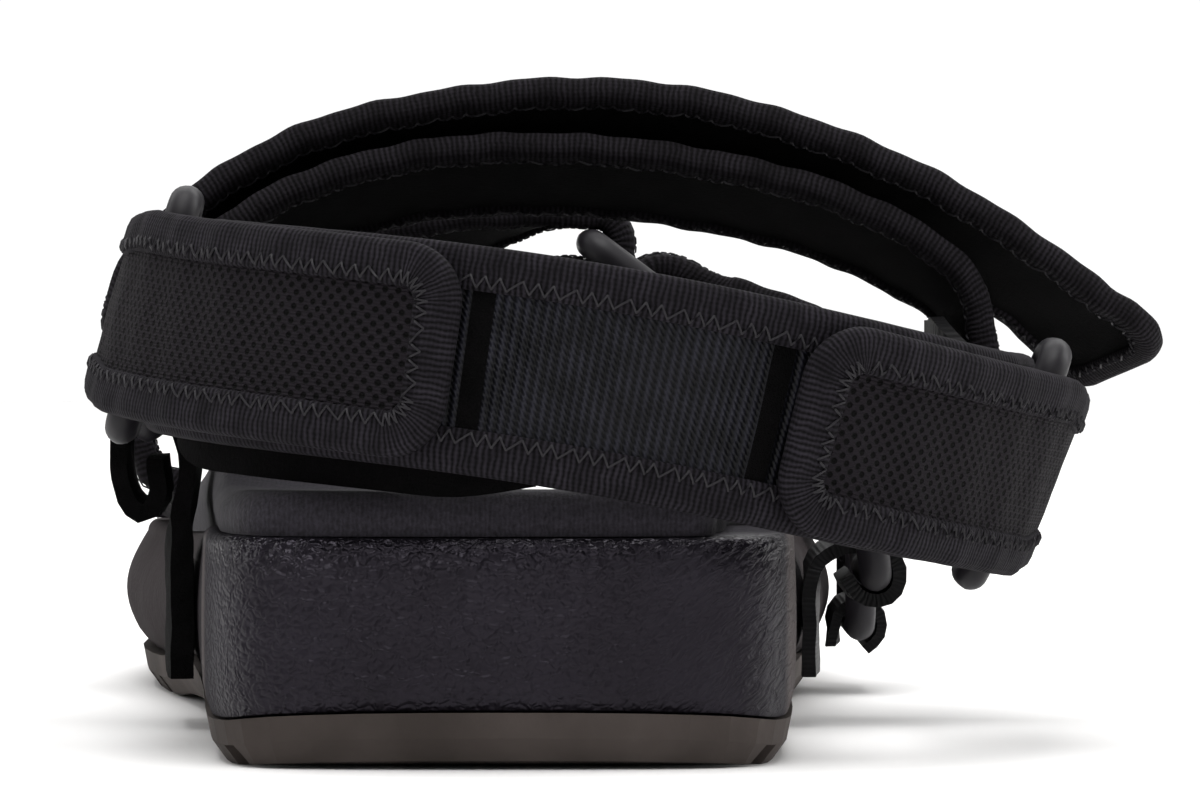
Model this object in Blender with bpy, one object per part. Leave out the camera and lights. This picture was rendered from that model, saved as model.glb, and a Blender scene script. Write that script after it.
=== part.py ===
"""Sport sandal for the right foot: moulded sole, padded footbed and folded padded straps.

Metres, +Z up. The toe points to +Y and the outer (little toe) side is +X.
The origin lies on the ground, in the middle of the heel's flat rest.
"""
import math

import bmesh
import bpy
from mathutils import Vector

# Driving sizes of the sole
SOLE_LENGTH = 0.284
BALL_WIDTH = 0.1
OUTSOLE_THICK = 0.0055
HEEL_HEIGHT = 0.0285
BALL_HEIGHT = 0.0238
TOE_HEIGHT = 0.0208
TOE_SPRING = 0.0085
WALL_BULGE = 0.0028
RIM_ROUND = 0.0016
FOOTBED_THICK = 0.0046
ARCH_RISE = 0.0062
FOOTBED_INSET = 0.0012
STRAP_SLOT = 0.0068
GROOVE_WIDTH = 0.0034
GROOVE_DEPTH = 0.0024
GROOVE_PITCH = 0.0135
GROOVE_WAVE = 0.0042
REST_FROM_BACK = GROOVE_PITCH * 2.5
CLEAR = 0.0004

# Driving sizes of the straps
STRAP_WIDTH = 0.0295
STRAP_THICK = 0.0034
TAB_WIDTH = 0.0265
PANEL_STEP = 0.0007
RIM_BAND = 0.0052
WEB_THICK = 0.0018
WEB_WIDTH = 0.024
RING_TUBE = 0.0043
RING_LENGTH = 0.0345
RING_GAP = 0.008
RING_CORNER = 0.0027
FOLD_WIDTH = 0.0242
FOLD_STEP = 0.0023

# Where the straps lie, from the back of the heel and from the middle line
HEEL_RING_BACK = 0.054
HEEL_RING_SPAN = 0.1108
HEEL_STRAP_SHIFT = 0.0108
HEEL_STRAP_PROUD = 0.0045
HEEL_STRAP_WIDTH = 0.028
HEEL_STRAP_RISE = 0.0028
HEEL_STRAP_HIGH = 0.055
HEEL_STRAP_LOW = 0.0357
HEEL_TILT_INNER = math.radians(16)
HEEL_TILT_OUTER = math.radians(21)
INSTEP_BACK = 0.093
INSTEP_SPAN = 0.104
INSTEP_HEIGHT = 0.0715
INSTEP_SLOPE = math.radians(22)
LOWER_SLOPE = math.radians(16.5)
TAB_DROOP = math.radians(9)
TAB_CORNER = 0.0075
FORE_WEB_THICK = 0.0014
FORE_BACK = 0.166
FORE_SPAN = 0.1
FORE_HEIGHT = 0.061
FORE_SLOPE = math.radians(17)
ANCHOR_LOW = 0.0068
FREE_END_HIGH = 0.3986 * INSTEP_HEIGHT
INNER_RING_HIGH = 0.73427 * INSTEP_HEIGHT
OUTER_RING_OFF = 0.0078
OUTER_RING_HIGH = 0.0325
OUTER_RING_LEAN = math.radians(8)
FORE_RING_OFF = 0.0004
SEWN_THICK = 0.0014
FORE_RING_HIGH = 0.0222
TOP_RING_ACROSS = 0.018
TOP_RING_HIGH = 0.0598
TOP_RING_FALL = math.radians(37)
SIDE_SLOT = 0.0056
LINK_WIDTH = 0.0155
LINK_INSIDE = 0.0078
LINK_SLACK = 0.0025
VELVET_THICK = 0.0022

LOOP_POINTS = 62
GRID_COLUMNS = 5

# Outline of the sole seen from above: across as a share of BALL_WIDTH, along of SOLE_LENGTH
OUTLINE = (
    (0.000, 0.000),
    (0.190, 0.003),
    (0.310, 0.016),
    (0.360, 0.052),
    (0.374, 0.110),
    (0.382, 0.200),
    (0.392, 0.320),
    (0.418, 0.440),
    (0.443, 0.560),
    (0.458, 0.660),
    (0.438, 0.770),
    (0.370, 0.875),
    (0.220, 0.962),
    (0.020, 0.999),
    (-0.180, 0.993),
    (-0.345, 0.945),
    (-0.455, 0.860),
    (-0.512, 0.755),
    (-0.522, 0.650),
    (-0.488, 0.550),
    (-0.440, 0.440),
    (-0.405, 0.330),
    (-0.388, 0.210),
    (-0.376, 0.110),
    (-0.360, 0.052),
    (-0.310, 0.016),
    (-0.190, 0.003),
)

# Middle of the instep strap's lower layer, from its outer ring over the foot towards its inner ring:
# across as a share of INSTEP_SPAN, height as a share of INSTEP_HEIGHT, along as a share of STRAP_WIDTH
INSTEP_LOWER = (
    (0.580, 0.485, 0.00), (0.612, 0.640, 0.00), (0.575, 0.805, 0.00),
    (0.430, 0.929, 0.00), (0.250, 0.996, 0.00), (0.080, 1.022, 0.00),
    (-0.090, 1.012, 0.00), (-0.240, 0.957, -0.04), (-0.345, 0.876, -0.10),
)

# Upper layer of the same strap, from its inner ring back over the foot to its free tab
INSTEP_UPPER = (
    (-0.442, 0.843, -0.10), (-0.365, 0.931, -0.04), (-0.229, 1.033, 0.00),
    (-0.062, 1.088, 0.00), (0.094, 1.108, 0.00), (0.251, 1.088, 0.00),
    (0.391, 1.033, 0.00), (0.484, 0.980, 0.00), (0.561, 0.926, 0.00),
    (0.653, 0.843, 0.00), (0.735, 0.754, 0.03), (0.806, 0.660, 0.08),
)

# Forefoot strap: inner half up to its top ring, outer half from its side ring, tab folded back
# over it; across as a share of FORE_SPAN, height as a share of FORE_HEIGHT
FORE_INNER = (
    (-0.492, 0.500, 0.00),
    (-0.510, 0.640, 0.00),
    (-0.455, 0.820, 0.00),
    (-0.320, 0.950, 0.00),
    (-0.140, 1.025, 0.00),
)
FORE_OUTER = (
    (0.520, 0.480, 0.00), (0.520, 0.587, 0.00), (0.475, 0.682, 0.00),
    (0.395, 0.754, 0.00), (0.312, 0.811, 0.00),
)
# Free end of the inner anchor: inward and up from its lowest place, in strap thicknesses
LOOP_END = ((-0.10, 3.40), (0.00, 1.80), (0.65, 0.40), (1.50, 0.00), (2.10, 0.75), (2.05, 3.30))

FORE_TAB = (
    (0.310, 0.900, 0.00), (0.400, 0.836, 0.00), (0.490, 0.769, 0.00),
    (0.555, 0.661, 0.00), (0.590, 0.541, 0.00),
)


# Small helpers

def back_to_y(distance):
    """World Y of a place given by its distance from the back of the heel."""
    return distance - REST_FROM_BACK


def share_of(y):
    """Share of the sole's length at a world Y."""
    return (y + REST_FROM_BACK) / SOLE_LENGTH


def smooth(low, high, value):
    """Smooth step from 0 to 1 between low and high."""
    t = min(1.0, max(0.0, (value - low) / (high - low)))
    return t * t * (3.0 - 2.0 * t)


def curve_point(rows, t, closed=False):
    """Point of a Catmull-Rom curve through rows, t from 0 to 1."""
    count = len(rows)
    spans = count if closed else count - 1
    place = min(max(t, 0.0), 1.0) * spans
    index = min(int(place), spans - 1)
    f = place - index
    picks = []
    for offset in (-1, 0, 1, 2):
        i = index + offset
        i = i % count if closed else min(max(i, 0), count - 1)
        picks.append(rows[i])
    a, b, c, d = picks
    result = []
    for k in range(len(b)):
        result.append(0.5 * (2 * b[k] + (c[k] - a[k]) * f
                             + (2 * a[k] - 5 * b[k] + 4 * c[k] - d[k]) * f * f
                             + (3 * b[k] - a[k] - 3 * c[k] + d[k]) * f * f * f))
    return result


def material(name, colour, roughness, metallic=0.0):
    """Principled material with a linear colour."""
    mat = bpy.data.materials.new(name)
    mat.use_nodes = True
    shader = mat.node_tree.nodes["Principled BSDF"]
    shader.inputs["Base Color"].default_value = (*colour, 1.0)
    shader.inputs["Roughness"].default_value = roughness
    shader.inputs["Metallic"].default_value = metallic
    mat.diffuse_color = (*colour, 1.0)
    return mat


def finish(name, bm, mat, sharp=40):
    """Turn a bmesh into a named, smooth-shaded object."""
    bmesh.ops.recalc_face_normals(bm, faces=bm.faces)
    mesh = bpy.data.meshes.new(name)
    bm.to_mesh(mesh)
    bm.free()
    mesh.shade_smooth()
    mesh.set_sharp_from_angle(angle=math.radians(sharp))
    mesh.materials.append(mat)
    obj = bpy.data.objects.new(name, mesh)
    bpy.context.scene.collection.objects.link(obj)
    return obj


# Sole profile along the length

def under(y):
    """Height of the outsole's underside: flat at heel and ball, low arch, toe spring."""
    t = share_of(y)
    spring = TOE_SPRING * max(0.0, (t - 0.74) / 0.26) ** 2
    bevel = 0.0018 * max(0.0, (0.05 - t) / 0.05) ** 2
    arch = 0.0016 * smooth(0.30, 0.40, t) * (1.0 - smooth(0.46, 0.56, t))
    return spring + bevel + arch


def deck(y):
    """Height of the midsole's top edge."""
    t = share_of(y)
    drop = smooth(0.10, 0.52, t)
    toe = smooth(0.62, 0.95, t)
    return HEEL_HEIGHT + (BALL_HEIGHT - HEEL_HEIGHT) * drop + (TOE_HEIGHT - BALL_HEIGHT) * toe


def outline_by(depth):
    """Closed loop of (x, y) inside the sole's edge by a depth worked out from each point."""
    points = []
    for i in range(LOOP_POINTS):
        across, along = curve_point(OUTLINE, i / LOOP_POINTS, closed=True)
        points.append(Vector((across * BALL_WIDTH, back_to_y(along * SOLE_LENGTH))))
    result = []
    for i, point in enumerate(points):
        tangent = (points[(i + 1) % LOOP_POINTS] - points[i - 1]).normalized()
        inward = Vector((-tangent.y, tangent.x))
        result.append(point + inward * depth(point))
    return result


def outline(inset):
    """Closed loop of (x, y) at one inset from the sole's edge."""
    return outline_by(lambda p: inset)


def slotted(point):
    """Extra inset of the footbed where straps come up beside it."""
    t = share_of(point.y)
    if point.x > 0.0:
        outer = smooth(BALL_WIDTH * 0.24, BALL_WIDTH * 0.34, point.x)
        return STRAP_SLOT * outer * (1.0 - smooth(0.16, 0.30, t))
    middle = FORE_BACK / SOLE_LENGTH
    reach = (STRAP_WIDTH / 2 + 0.003) / SOLE_LENGTH
    return SIDE_SLOT * (1.0 - smooth(reach, reach * 1.9, abs(t - middle)))


def side_edge(y, sign):
    """Half width of the sole at a world Y, on one side."""
    best = None
    for point in outline(0.0):
        if point.x * sign > 0.0 and (best is None or abs(point.y - y) < abs(best.y - y)):
            best = point
    after = min((p for p in outline(0.0) if p.x * sign > 0.0 and p is not best),
                key=lambda p: abs(p.y - (2 * y - best.y)))
    if abs(after.y - best.y) < 1e-6:
        return abs(best.x)
    f = (y - best.y) / (after.y - best.y)
    return abs(best.x + (after.x - best.x) * f)


def side_wall(y, sign, high):
    """Distance of the foam's wall from the middle line at a height."""
    share = (high - midsole_base(y)) / (deck(y) - RIM_ROUND - midsole_base(y))
    return side_edge(y, sign) + max(bulge(min(1.0, max(0.0, share)), y), 0.0)


def ring_of(bm, points, height):
    """Vertices at a loop of points; height is a function of x and y."""
    return [bm.verts.new((p.x, p.y, height(p.x, p.y))) for p in points]


def wall_between(bm, lower, upper):
    """Quads between two loops of equal length."""
    count = len(lower)
    for i in range(count):
        j = (i + 1) % count
        bm.faces.new((lower[i], lower[j], upper[j], upper[i]))


def close_loop(bm, loop, height, columns=GRID_COLUMNS):
    """Fill a loop with cross rows from its outer to its inner side, lifted by height(x, y)."""
    half = len(loop) // 2
    rows = [[loop[0]]]
    for i in range(1, half):
        start = loop[i]
        end = loop[-i]
        row = [start]
        for k in range(1, columns):
            f = k / columns
            x = start.co.x + (end.co.x - start.co.x) * f
            y = start.co.y + (end.co.y - start.co.y) * f
            row.append(bm.verts.new((x, y, height(x, y))))
        row.append(end)
        rows.append(row)
    rows.append([loop[half]])
    for row, after in zip(rows, rows[1:]):
        if len(row) == 1:
            for k in range(columns):
                bm.faces.new((row[0], after[k], after[k + 1]))
        elif len(after) == 1:
            for k in range(columns):
                bm.faces.new((after[0], row[k + 1], row[k]))
        else:
            for k in range(columns):
                bm.faces.new((row[k], after[k], after[k + 1], row[k + 1]))


# Sole parts

def build_outsole(mat):
    """Rubber outsole with cross grooves and a lengthwise groove."""
    bm = bmesh.new()
    low = ring_of(bm, outline(0.0030), lambda x, y: under(y))
    mid = ring_of(bm, outline(0.0012), lambda x, y: under(y) + OUTSOLE_THICK * 0.45)
    top = ring_of(bm, outline(0.0006), lambda x, y: under(y) + OUTSOLE_THICK)
    wall_between(bm, low, mid)
    wall_between(bm, mid, top)
    close_loop(bm, low, lambda x, y: under(y))
    close_loop(bm, top, lambda x, y: under(y) + OUTSOLE_THICK)
    sole = finish("outsole", bm, mat)
    cutter = bmesh.new()
    for i in range(1, int(SOLE_LENGTH / GROOVE_PITCH)):
        y = back_to_y(i * GROOVE_PITCH)
        if not 0.30 < share_of(y) < 0.53:
            add_groove(cutter, y)
    grooves = finish("outsole_grooves", cutter, mat)
    cut(sole, grooves)
    return sole


def add_groove(bm, y):
    """One wavy bar across the sole, sunk GROOVE_DEPTH into its underside."""
    columns = 6
    before = None
    first = None
    for i in range(columns + 1):
        f = i / columns * 2.0 - 1.0
        x = f * BALL_WIDTH * 0.62
        bend = GROOVE_WAVE * (math.cos(f * math.pi * 2.4) - 1.0) * 0.5 * smooth(0.0, 0.3, 1.0 - abs(f) * 0.6)
        ring = []
        for side, rise in ((-1, -1), (1, -1), (1, 1), (-1, 1)):
            along = y + bend + side * GROOVE_WIDTH / 2
            ring.append(bm.verts.new((x, along, under(along) + rise * GROOVE_DEPTH)))
        if before is None:
            first = ring
        else:
            wall_between(bm, before, ring)
        before = ring
    bm.faces.new(first)
    bm.faces.new(list(reversed(before)))


def cut(obj, cutter):
    """Exact Boolean difference that stays on the object."""
    cutter.hide_render = True
    cutter.display_type = "WIRE"
    modifier = obj.modifiers.new("cut", "BOOLEAN")
    modifier.operation = "DIFFERENCE"
    modifier.solver = "EXACT"
    modifier.object = cutter


def midsole_base(y):
    """Height of the midsole's underside."""
    return under(y) + OUTSOLE_THICK + CLEAR


def bulge(share, y):
    """How far the foam's wall stands out at a share of its height."""
    weight = smooth(0.20, 0.48, share_of(y))
    amount = WALL_BULGE * (math.sin(math.pi * share) - 0.35)
    return amount * weight + 0.0003 * math.sin(math.pi * share) - 0.0004


def build_midsole(mat):
    """Foam body: upright heel wall, bulging ball, rounded top edge and plain deck."""
    def at(share):
        return lambda x, y: midsole_base(y) + (deck(y) - RIM_ROUND - midsole_base(y)) * share

    def bulged(share):
        return outline_by(lambda p: -bulge(share, p.y))

    bm = bmesh.new()
    shares = (0.0, 0.22, 0.45, 0.7, 1.0)
    loops = [ring_of(bm, bulged(s), at(s)) for s in shares]
    edge = [outline_by(lambda p: -bulge(1.0, p.y) + RIM_ROUND * share) for share in (0.4, 1.0)]
    loops.append(ring_of(bm, edge[0], lambda x, y: deck(y) - RIM_ROUND * 0.28))
    loops.append(ring_of(bm, edge[1], lambda x, y: deck(y)))
    for lower, upper in zip(loops, loops[1:]):
        wall_between(bm, lower, upper)
    close_loop(bm, loops[0], lambda x, y: midsole_base(y))
    close_loop(bm, loops[-1], lambda x, y: deck(y))
    return finish("midsole", bm, mat)


def footbed_top(x, y):
    """Height of the footbed's upper face: heel cup, raised inner arch, toe roll."""
    t = share_of(y)
    side = abs(x) / (BALL_WIDTH * 0.42)
    thick = FOOTBED_THICK * (1.0 - 0.35 * smooth(0.45, 0.75, t))
    cup = 0.0016 * smooth(0.3, 1.0, side) * (1.0 - smooth(0.30, 0.55, t)) - 0.0008
    cup = max(cup, 0.0010 * (1.0 - smooth(0.03, 0.14, t)))
    along = smooth(0.17, 0.27, t) * (1.0 - smooth(0.33, 0.56, t))
    inner = smooth(-0.004, BALL_WIDTH * 0.36, -x)
    return deck(y) + thick + cup + ARCH_RISE * along * inner


def build_footbed(mat):
    """Fabric covered pad on the midsole, set back from the outer heel edge."""
    bm = bmesh.new()
    rounding = 0.0024

    def lift(share):
        return lambda x, y: (deck(y) + CLEAR) * (1.0 - share) + footbed_top(x, y) * share

    steps = ((0.0, 0.0006), (0.25, 0.0), (0.62, 0.0002), (0.86, 0.0011), (1.0, rounding))
    loops = []
    for share, inset in steps:
        points = outline_by(lambda p: FOOTBED_INSET + inset + slotted(p))
        loops.append(ring_of(bm, points, lift(share)))
    for lower, upper in zip(loops, loops[1:]):
        wall_between(bm, lower, upper)
    close_loop(bm, loops[0], lambda x, y: deck(y) + CLEAR, 4)
    close_loop(bm, loops[-1], footbed_top, 7)
    return finish("footbed", bm, mat)


# Straps

def strap_section(width, thick, step):
    """Closed outline across a strap: padded with rounded edges and stepped faces, or thin webbing."""
    w = width / 2
    h = thick / 2
    edge = min(thick * 0.5, w * 0.3)
    if step is None:
        upper = [(-w, h * 0.5), (-w + h, h), (w - h, h), (w, h * 0.5)]
        return upper + [(a, -b) for a, b in reversed(upper)]
    upper = [(-w, 0.0), (-w + edge * 0.3, h * 0.78), (-w + edge, h)]
    if step:
        rim = min(RIM_BAND, w * 0.42)
        upper += [(-w + rim, h), (-w + rim + step, h - step), (w - rim - step, h - step), (w - rim, h)]
    upper += [(w - edge, h), (w - edge * 0.3, h * 0.78), (w, 0.0)]
    lower = [(a, -b) for a, b in reversed(upper[1:-1])]
    return upper + lower


def sweep(name, stations, mat):
    """Solid strap along stations of (point, across, width, thick, step)."""
    bm = bmesh.new()
    rings = []
    for i, (point, across, width, thick, step) in enumerate(stations):
        before = stations[max(i - 1, 0)][0]
        after = stations[min(i + 1, len(stations) - 1)][0]
        tangent = (after - before).normalized()
        across = (across - tangent * across.dot(tangent)).normalized()
        facing = across.cross(tangent).normalized()
        ring = []
        for a, b in strap_section(width, thick, step):
            ring.append(bm.verts.new(point + across * a + facing * b))
        rings.append(ring)
    for ring, after in zip(rings, rings[1:]):
        wall_between(bm, ring, after)
    bm.faces.new(rings[0])
    bm.faces.new(list(reversed(rings[-1])))
    return finish(name, bm, mat, 55)


def rounded_end(distance, radius):
    """Share of the width that is left at a distance from a rounded strap end."""
    if distance >= radius:
        return 1.0
    f = 1.0 - distance / radius
    return math.sqrt(max(0.0, 1.0 - f ** 2.6)) * 0.82 + 0.18


def tilt_vector(angle):
    """Width direction of a strap that stands up and leans by an angle."""
    return Vector((math.sin(angle), 0.0, math.cos(angle)))


def heel_curve(theta):
    """Middle of the heel strap between its rings, and its width direction."""
    half = HEEL_RING_SPAN / 2
    x = HEEL_STRAP_SHIFT - half * math.cos(theta)
    bow = math.sin(theta) ** 0.86
    y = back_to_y(HEEL_RING_BACK - (HEEL_RING_BACK + HEEL_STRAP_PROUD) * bow)
    across = (1.0 - math.cos(theta)) / 2
    z = HEEL_STRAP_HIGH + (HEEL_STRAP_LOW - HEEL_STRAP_HIGH) * across
    z += HEEL_STRAP_RISE * max(0.0, math.sin(theta)) ** 3
    lean = HEEL_TILT_INNER + (HEEL_TILT_OUTER - HEEL_TILT_INNER) * smooth(0.35, 1.0, across)
    return Vector((x, y, z)), tilt_vector(lean)


def fold_radius():
    """Radius of a strap's middle where it turns round a ring's bar."""
    return RING_TUBE / 2 + CLEAR + STRAP_THICK / 2


def heel_offset(theta, outer):
    """Distance of a layer from the heel curve; layers part near the rings."""
    near = 1.0 - smooth(0.0, 0.55, min(theta, math.pi - theta))
    close = STRAP_THICK / 2 + CLEAR
    apart = fold_radius()
    amount = close + (apart - close) * near
    return amount if outer else -amount


def heel_place(theta, outer):
    """Point and width direction on the inner or outer layer of the heel strap."""
    point, across = heel_curve(theta)
    ahead, _ = heel_curve(min(theta + 0.01, math.pi))
    behind, _ = heel_curve(max(theta - 0.01, 0.0))
    tangent = (ahead - behind).normalized()
    outward = tangent.cross(across).normalized()
    if outward.y > 0 and abs(outward.y) > abs(outward.x):
        outward = -outward
    centre = Vector((HEEL_STRAP_SHIFT, back_to_y(HEEL_RING_BACK), point.z))
    if outward.dot(point - centre) < 0:
        outward = -outward
    return point + outward * heel_offset(theta, outer), across, outward


def turn(centre, across, start, forward, radius, steps):
    """Half circle round a bar: from centre + start to centre - start by way of forward."""
    places = []
    for i in range(1, steps):
        angle = math.pi * i / steps
        places.append((centre + (start * math.cos(angle) + forward * math.sin(angle)) * radius, across))
    return places


def build_heel_strap(mat):
    """One padded strap: both ends pass the rings and fold back outward as tabs."""
    tab_inner = 1.28
    tab_outer = math.pi - 1.12
    layers = []
    for i in range(14):
        theta = tab_outer + (math.pi - tab_outer) * (i / 13) ** 1.7
        point, across, _ = heel_place(theta, True)
        layers.append((point, across, "tab"))
    point, across, outward = heel_place(math.pi, True)
    centre = heel_curve(math.pi)[0]
    for place, up in turn(centre, across, outward, Vector((0, 1, 0)), fold_radius(), 6):
        layers.append((place, up, "fold"))
    for i in range(29):
        theta = math.pi * (1.0 - i / 28)
        point, across, _ = heel_place(theta, False)
        layers.append((point, across, "base"))
    point, across, outward = heel_place(0.0, True)
    centre = heel_curve(0.0)[0]
    for place, up in turn(centre, across, -outward, Vector((0, 1, 0)), fold_radius(), 6):
        layers.append((place, up, "fold"))
    for i in range(15):
        theta = tab_inner * (1.0 - (1.0 - i / 14) ** 1.7)
        point, across, _ = heel_place(theta, True)
        layers.append((point, across, "tab"))
    lengths = [0.0]
    for a, b in zip(layers, layers[1:]):
        lengths.append(lengths[-1] + (b[0] - a[0]).length)
    stations = []
    for (point, across, kind), run in zip(layers, lengths):
        left = min(run, lengths[-1] - run)
        near = min((point - heel_curve(theta)[0]).length for theta in (0.0, math.pi))
        full = HEEL_STRAP_WIDTH if kind == "base" else TAB_WIDTH
        width = FOLD_WIDTH + (full - FOLD_WIDTH) * smooth(0.006, 0.018, near)
        if kind == "tab":
            width *= rounded_end(left, TAB_CORNER)
        stations.append((point, across, width, STRAP_THICK, PANEL_STEP))
    return sweep("heel_strap", stations, mat)


def slope_vector(angle):
    """Width direction of a strap over the foot: its front edge is lower."""
    return Vector((0.0, math.cos(angle), -math.sin(angle)))


def over_foot(rows, count, span, height, back, slope, full=0.85, droop=0.0):
    """Stations over the foot from a table of shares."""
    result = []
    for i in range(count):
        across, high, along = curve_point(rows, i / (count - 1))
        point = Vector((across * span, back_to_y(back) + along * STRAP_WIDTH, high * height))
        lean = slope * smooth(0.35, full, high) + droop * (1.0 - smooth(0.66, 0.80, high))
        result.append((point, slope_vector(lean)))
    return result


def wrap(bar, start_angle, end_angle, radius, steps, across, y):
    """Arc round a bar that runs along the foot; angles from +X, up is positive."""
    places = []
    for i in range(steps + 1):
        angle = start_angle + (end_angle - start_angle) * i / steps
        x = bar[0] + radius * math.cos(angle)
        z = bar[1] + radius * math.sin(angle)
        places.append((Vector((x, y, z)), across))
    return places


def dense_curve(places):
    """Rows (x, y, z, across) along a curve whose slope at each place fits the spans beside it."""
    points = [point for point, _ in places]
    spans = [max((b - a).length, 1e-6) for a, b in zip(points, points[1:])]
    slopes = [(points[1] - points[0]) / spans[0]]
    for i in range(1, len(points) - 1):
        before = (points[i] - points[i - 1]) / spans[i - 1]
        after = (points[i + 1] - points[i]) / spans[i]
        slopes.append((before * spans[i] + after * spans[i - 1]) / (spans[i - 1] + spans[i]))
    slopes.append((points[-1] - points[-2]) / spans[-1])
    rows = []
    for i, span in enumerate(spans):
        steps = max(2, round(span / 0.0003))
        for k in range(steps):
            f = k / steps
            point = (points[i] * (2 * f ** 3 - 3 * f ** 2 + 1) + slopes[i] * span * (f ** 3 - 2 * f ** 2 + f)
                     + points[i + 1] * (3 * f ** 2 - 2 * f ** 3) + slopes[i + 1] * span * (f ** 3 - f ** 2))
            across = places[i][1].lerp(places[i + 1][1], f * f * (3 - 2 * f))
            rows.append((*point, *across))
    rows.append((*points[-1], *places[-1][1]))
    return rows


def spread(places, spacing=0.0055, bars=(), round_end=0.0):
    """Smooth curve through places, resampled evenly and more finely round bars."""
    dense = dense_curve(places)
    result = [(Vector(dense[0][:3]), Vector(dense[0][3:]).normalized())]
    end = Vector(dense[-1][:3])
    run = 0.0
    for before, row in zip(dense, dense[1:]):
        point = Vector(row[:3])
        run += (point - Vector(before[:3])).length
        near = any(math.hypot(row[0] - bar[0], row[2] - bar[1]) < 0.008 for bar in bars)
        near = near or (end - point).length < round_end
        if run >= (min(spacing, FOLD_STEP) if near else spacing):
            result.append((point, Vector(row[3:]).normalized()))
            run = 0.0
    last = (Vector(dense[-1][:3]), Vector(dense[-1][3:]).normalized())
    if (last[0] - result[-1][0]).length < FOLD_STEP * 0.6:
        result.pop()
    result.append(last)
    return result


ALONG = Vector((0.0, 1.0, 0.0))


def ring_bars(out, high, lean):
    """Upper and lower bar of a side ring, from the place of its upper bar."""
    pitch = RING_GAP + RING_TUBE
    return (out, high), (out + pitch * math.sin(lean), high - pitch * math.cos(lean))


def build_instep_strap(mat):
    """Lower layer sewn round the outer ring, round the inner ring, upper layer to the free tab."""
    radius = fold_radius()
    y = back_to_y(INSTEP_BACK)
    outer = (outer_ring_out(), OUTER_RING_HIGH)
    inner = (-inner_ring_out(), INNER_RING_HIGH)
    lower = over_foot(INSTEP_LOWER, 30, INSTEP_SPAN, INSTEP_HEIGHT, INSTEP_BACK, LOWER_SLOPE)
    upper = over_foot(INSTEP_UPPER, 30, INSTEP_SPAN, INSTEP_HEIGHT, INSTEP_BACK, INSTEP_SLOPE, 0.6,
                      TAB_DROOP)
    begin = wrap(outer, math.radians(150), math.radians(350), radius, 6, ALONG, y)
    drop = -0.10 * STRAP_WIDTH
    middle = wrap(inner, math.radians(10), math.radians(-190), radius, 6, ALONG, y + drop)
    places = begin + lower + middle + upper
    bars = (outer, inner)
    return strap_from(spread(places, 0.0055, bars, 0.009), "instep_strap", mat, STRAP_WIDTH, 0.0, TAB_CORNER,
                      bars=bars)


def strap_from(places, name, mat, width, start_round, end_round, thick=STRAP_THICK,
               step=PANEL_STEP, bars=()):
    """Strap through (point, across) places, narrow where it turns round bars.

    A bar is its place across and up, and the strap's thickness there where it is sewn thin.
    """
    lengths = [0.0]
    for a, b in zip(places, places[1:]):
        lengths.append(lengths[-1] + (b[0] - a[0]).length)
    stations = []
    for (point, across), run in zip(places, lengths):
        share = 1.0
        if start_round:
            share *= rounded_end(run, start_round)
        if end_round:
            share *= rounded_end(lengths[-1] - run, end_round)
        wide = width
        deep = thick
        for bar in bars:
            away = smooth(0.007, 0.018, math.hypot(point.x - bar[0], point.z - bar[1]))
            narrow = min(width, FOLD_WIDTH)
            wide = min(wide, narrow + (width - narrow) * away)
            if len(bar) == 3:
                deep = min(deep, bar[2] + (thick - bar[2]) * away)
        stations.append((point, across, wide * share, deep, step))
    return sweep(name, stations, mat)


def inner_ring_out():
    """Distance of the inner instep ring from the middle line: outside its anchor strap."""
    y = back_to_y(INSTEP_BACK) - 0.1 * STRAP_WIDTH
    return side_wall(y, -1, 0.016) + 0.0007 + VELVET_THICK + RING_TUBE / 2 + CLEAR


def outer_ring_out():
    """Distance of the outer instep ring's upper bar from the middle line."""
    return side_wall(back_to_y(INSTEP_BACK), 1, 0.016) + OUTER_RING_OFF


def fore_ring_out():
    """Distance of the forefoot's side ring from the middle line."""
    room = SEWN_THICK + CLEAR + RING_TUBE / 2
    return side_wall(back_to_y(FORE_BACK), 1, 0.016) + FORE_RING_OFF + room


def wall_across(y, sign, reach):
    """Direction along the sole's side wall at a world Y."""
    ahead = Vector((sign * side_edge(y + reach, sign), y + reach, 0.0))
    behind = Vector((sign * side_edge(y - reach, sign), y - reach, 0.0))
    return (ahead - behind).normalized()


def build_inner_anchor(mat):
    """Velvet strap up the inner side wall, round the instep ring and down outside, closed below."""
    y = back_to_y(INSTEP_BACK) - 0.1 * STRAP_WIDTH
    bar = (-inner_ring_out(), INNER_RING_HIGH - RING_GAP - RING_TUBE)
    radius = RING_TUBE / 2 + CLEAR + VELVET_THICK / 2
    wall = -(side_wall(y, -1, 0.016) + 0.0007 + VELVET_THICK / 2)
    along = wall_across(y, -1, WEB_WIDTH / 2)
    places = [(Vector((wall, y, high)), along) for high in (ANCHOR_LOW, 0.013, 0.020, 0.0255)]
    rise = bar[1] - 0.0255
    for inward, share in ((0.0007, 0.2517), (0.0014, 0.5102), (0.0013, 0.7551)):
        places.append((Vector((wall + inward, y, 0.0255 + rise * share)), ALONG))
    places += wrap(bar, math.radians(14), math.pi, radius, 6, ALONG, y)
    out = bar[0] - radius
    for inward, high in LOOP_END:
        spot = Vector((out + inward * VELVET_THICK, y, FREE_END_HIGH + high * VELVET_THICK))
        places.append((spot, ALONG))
    return strap_from(spread(places, 0.0034, (bar,)), "side_anchor_inner", mat, WEB_WIDTH, 0.0, 0.0,
                      VELVET_THICK, None, (bar,))


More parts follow.
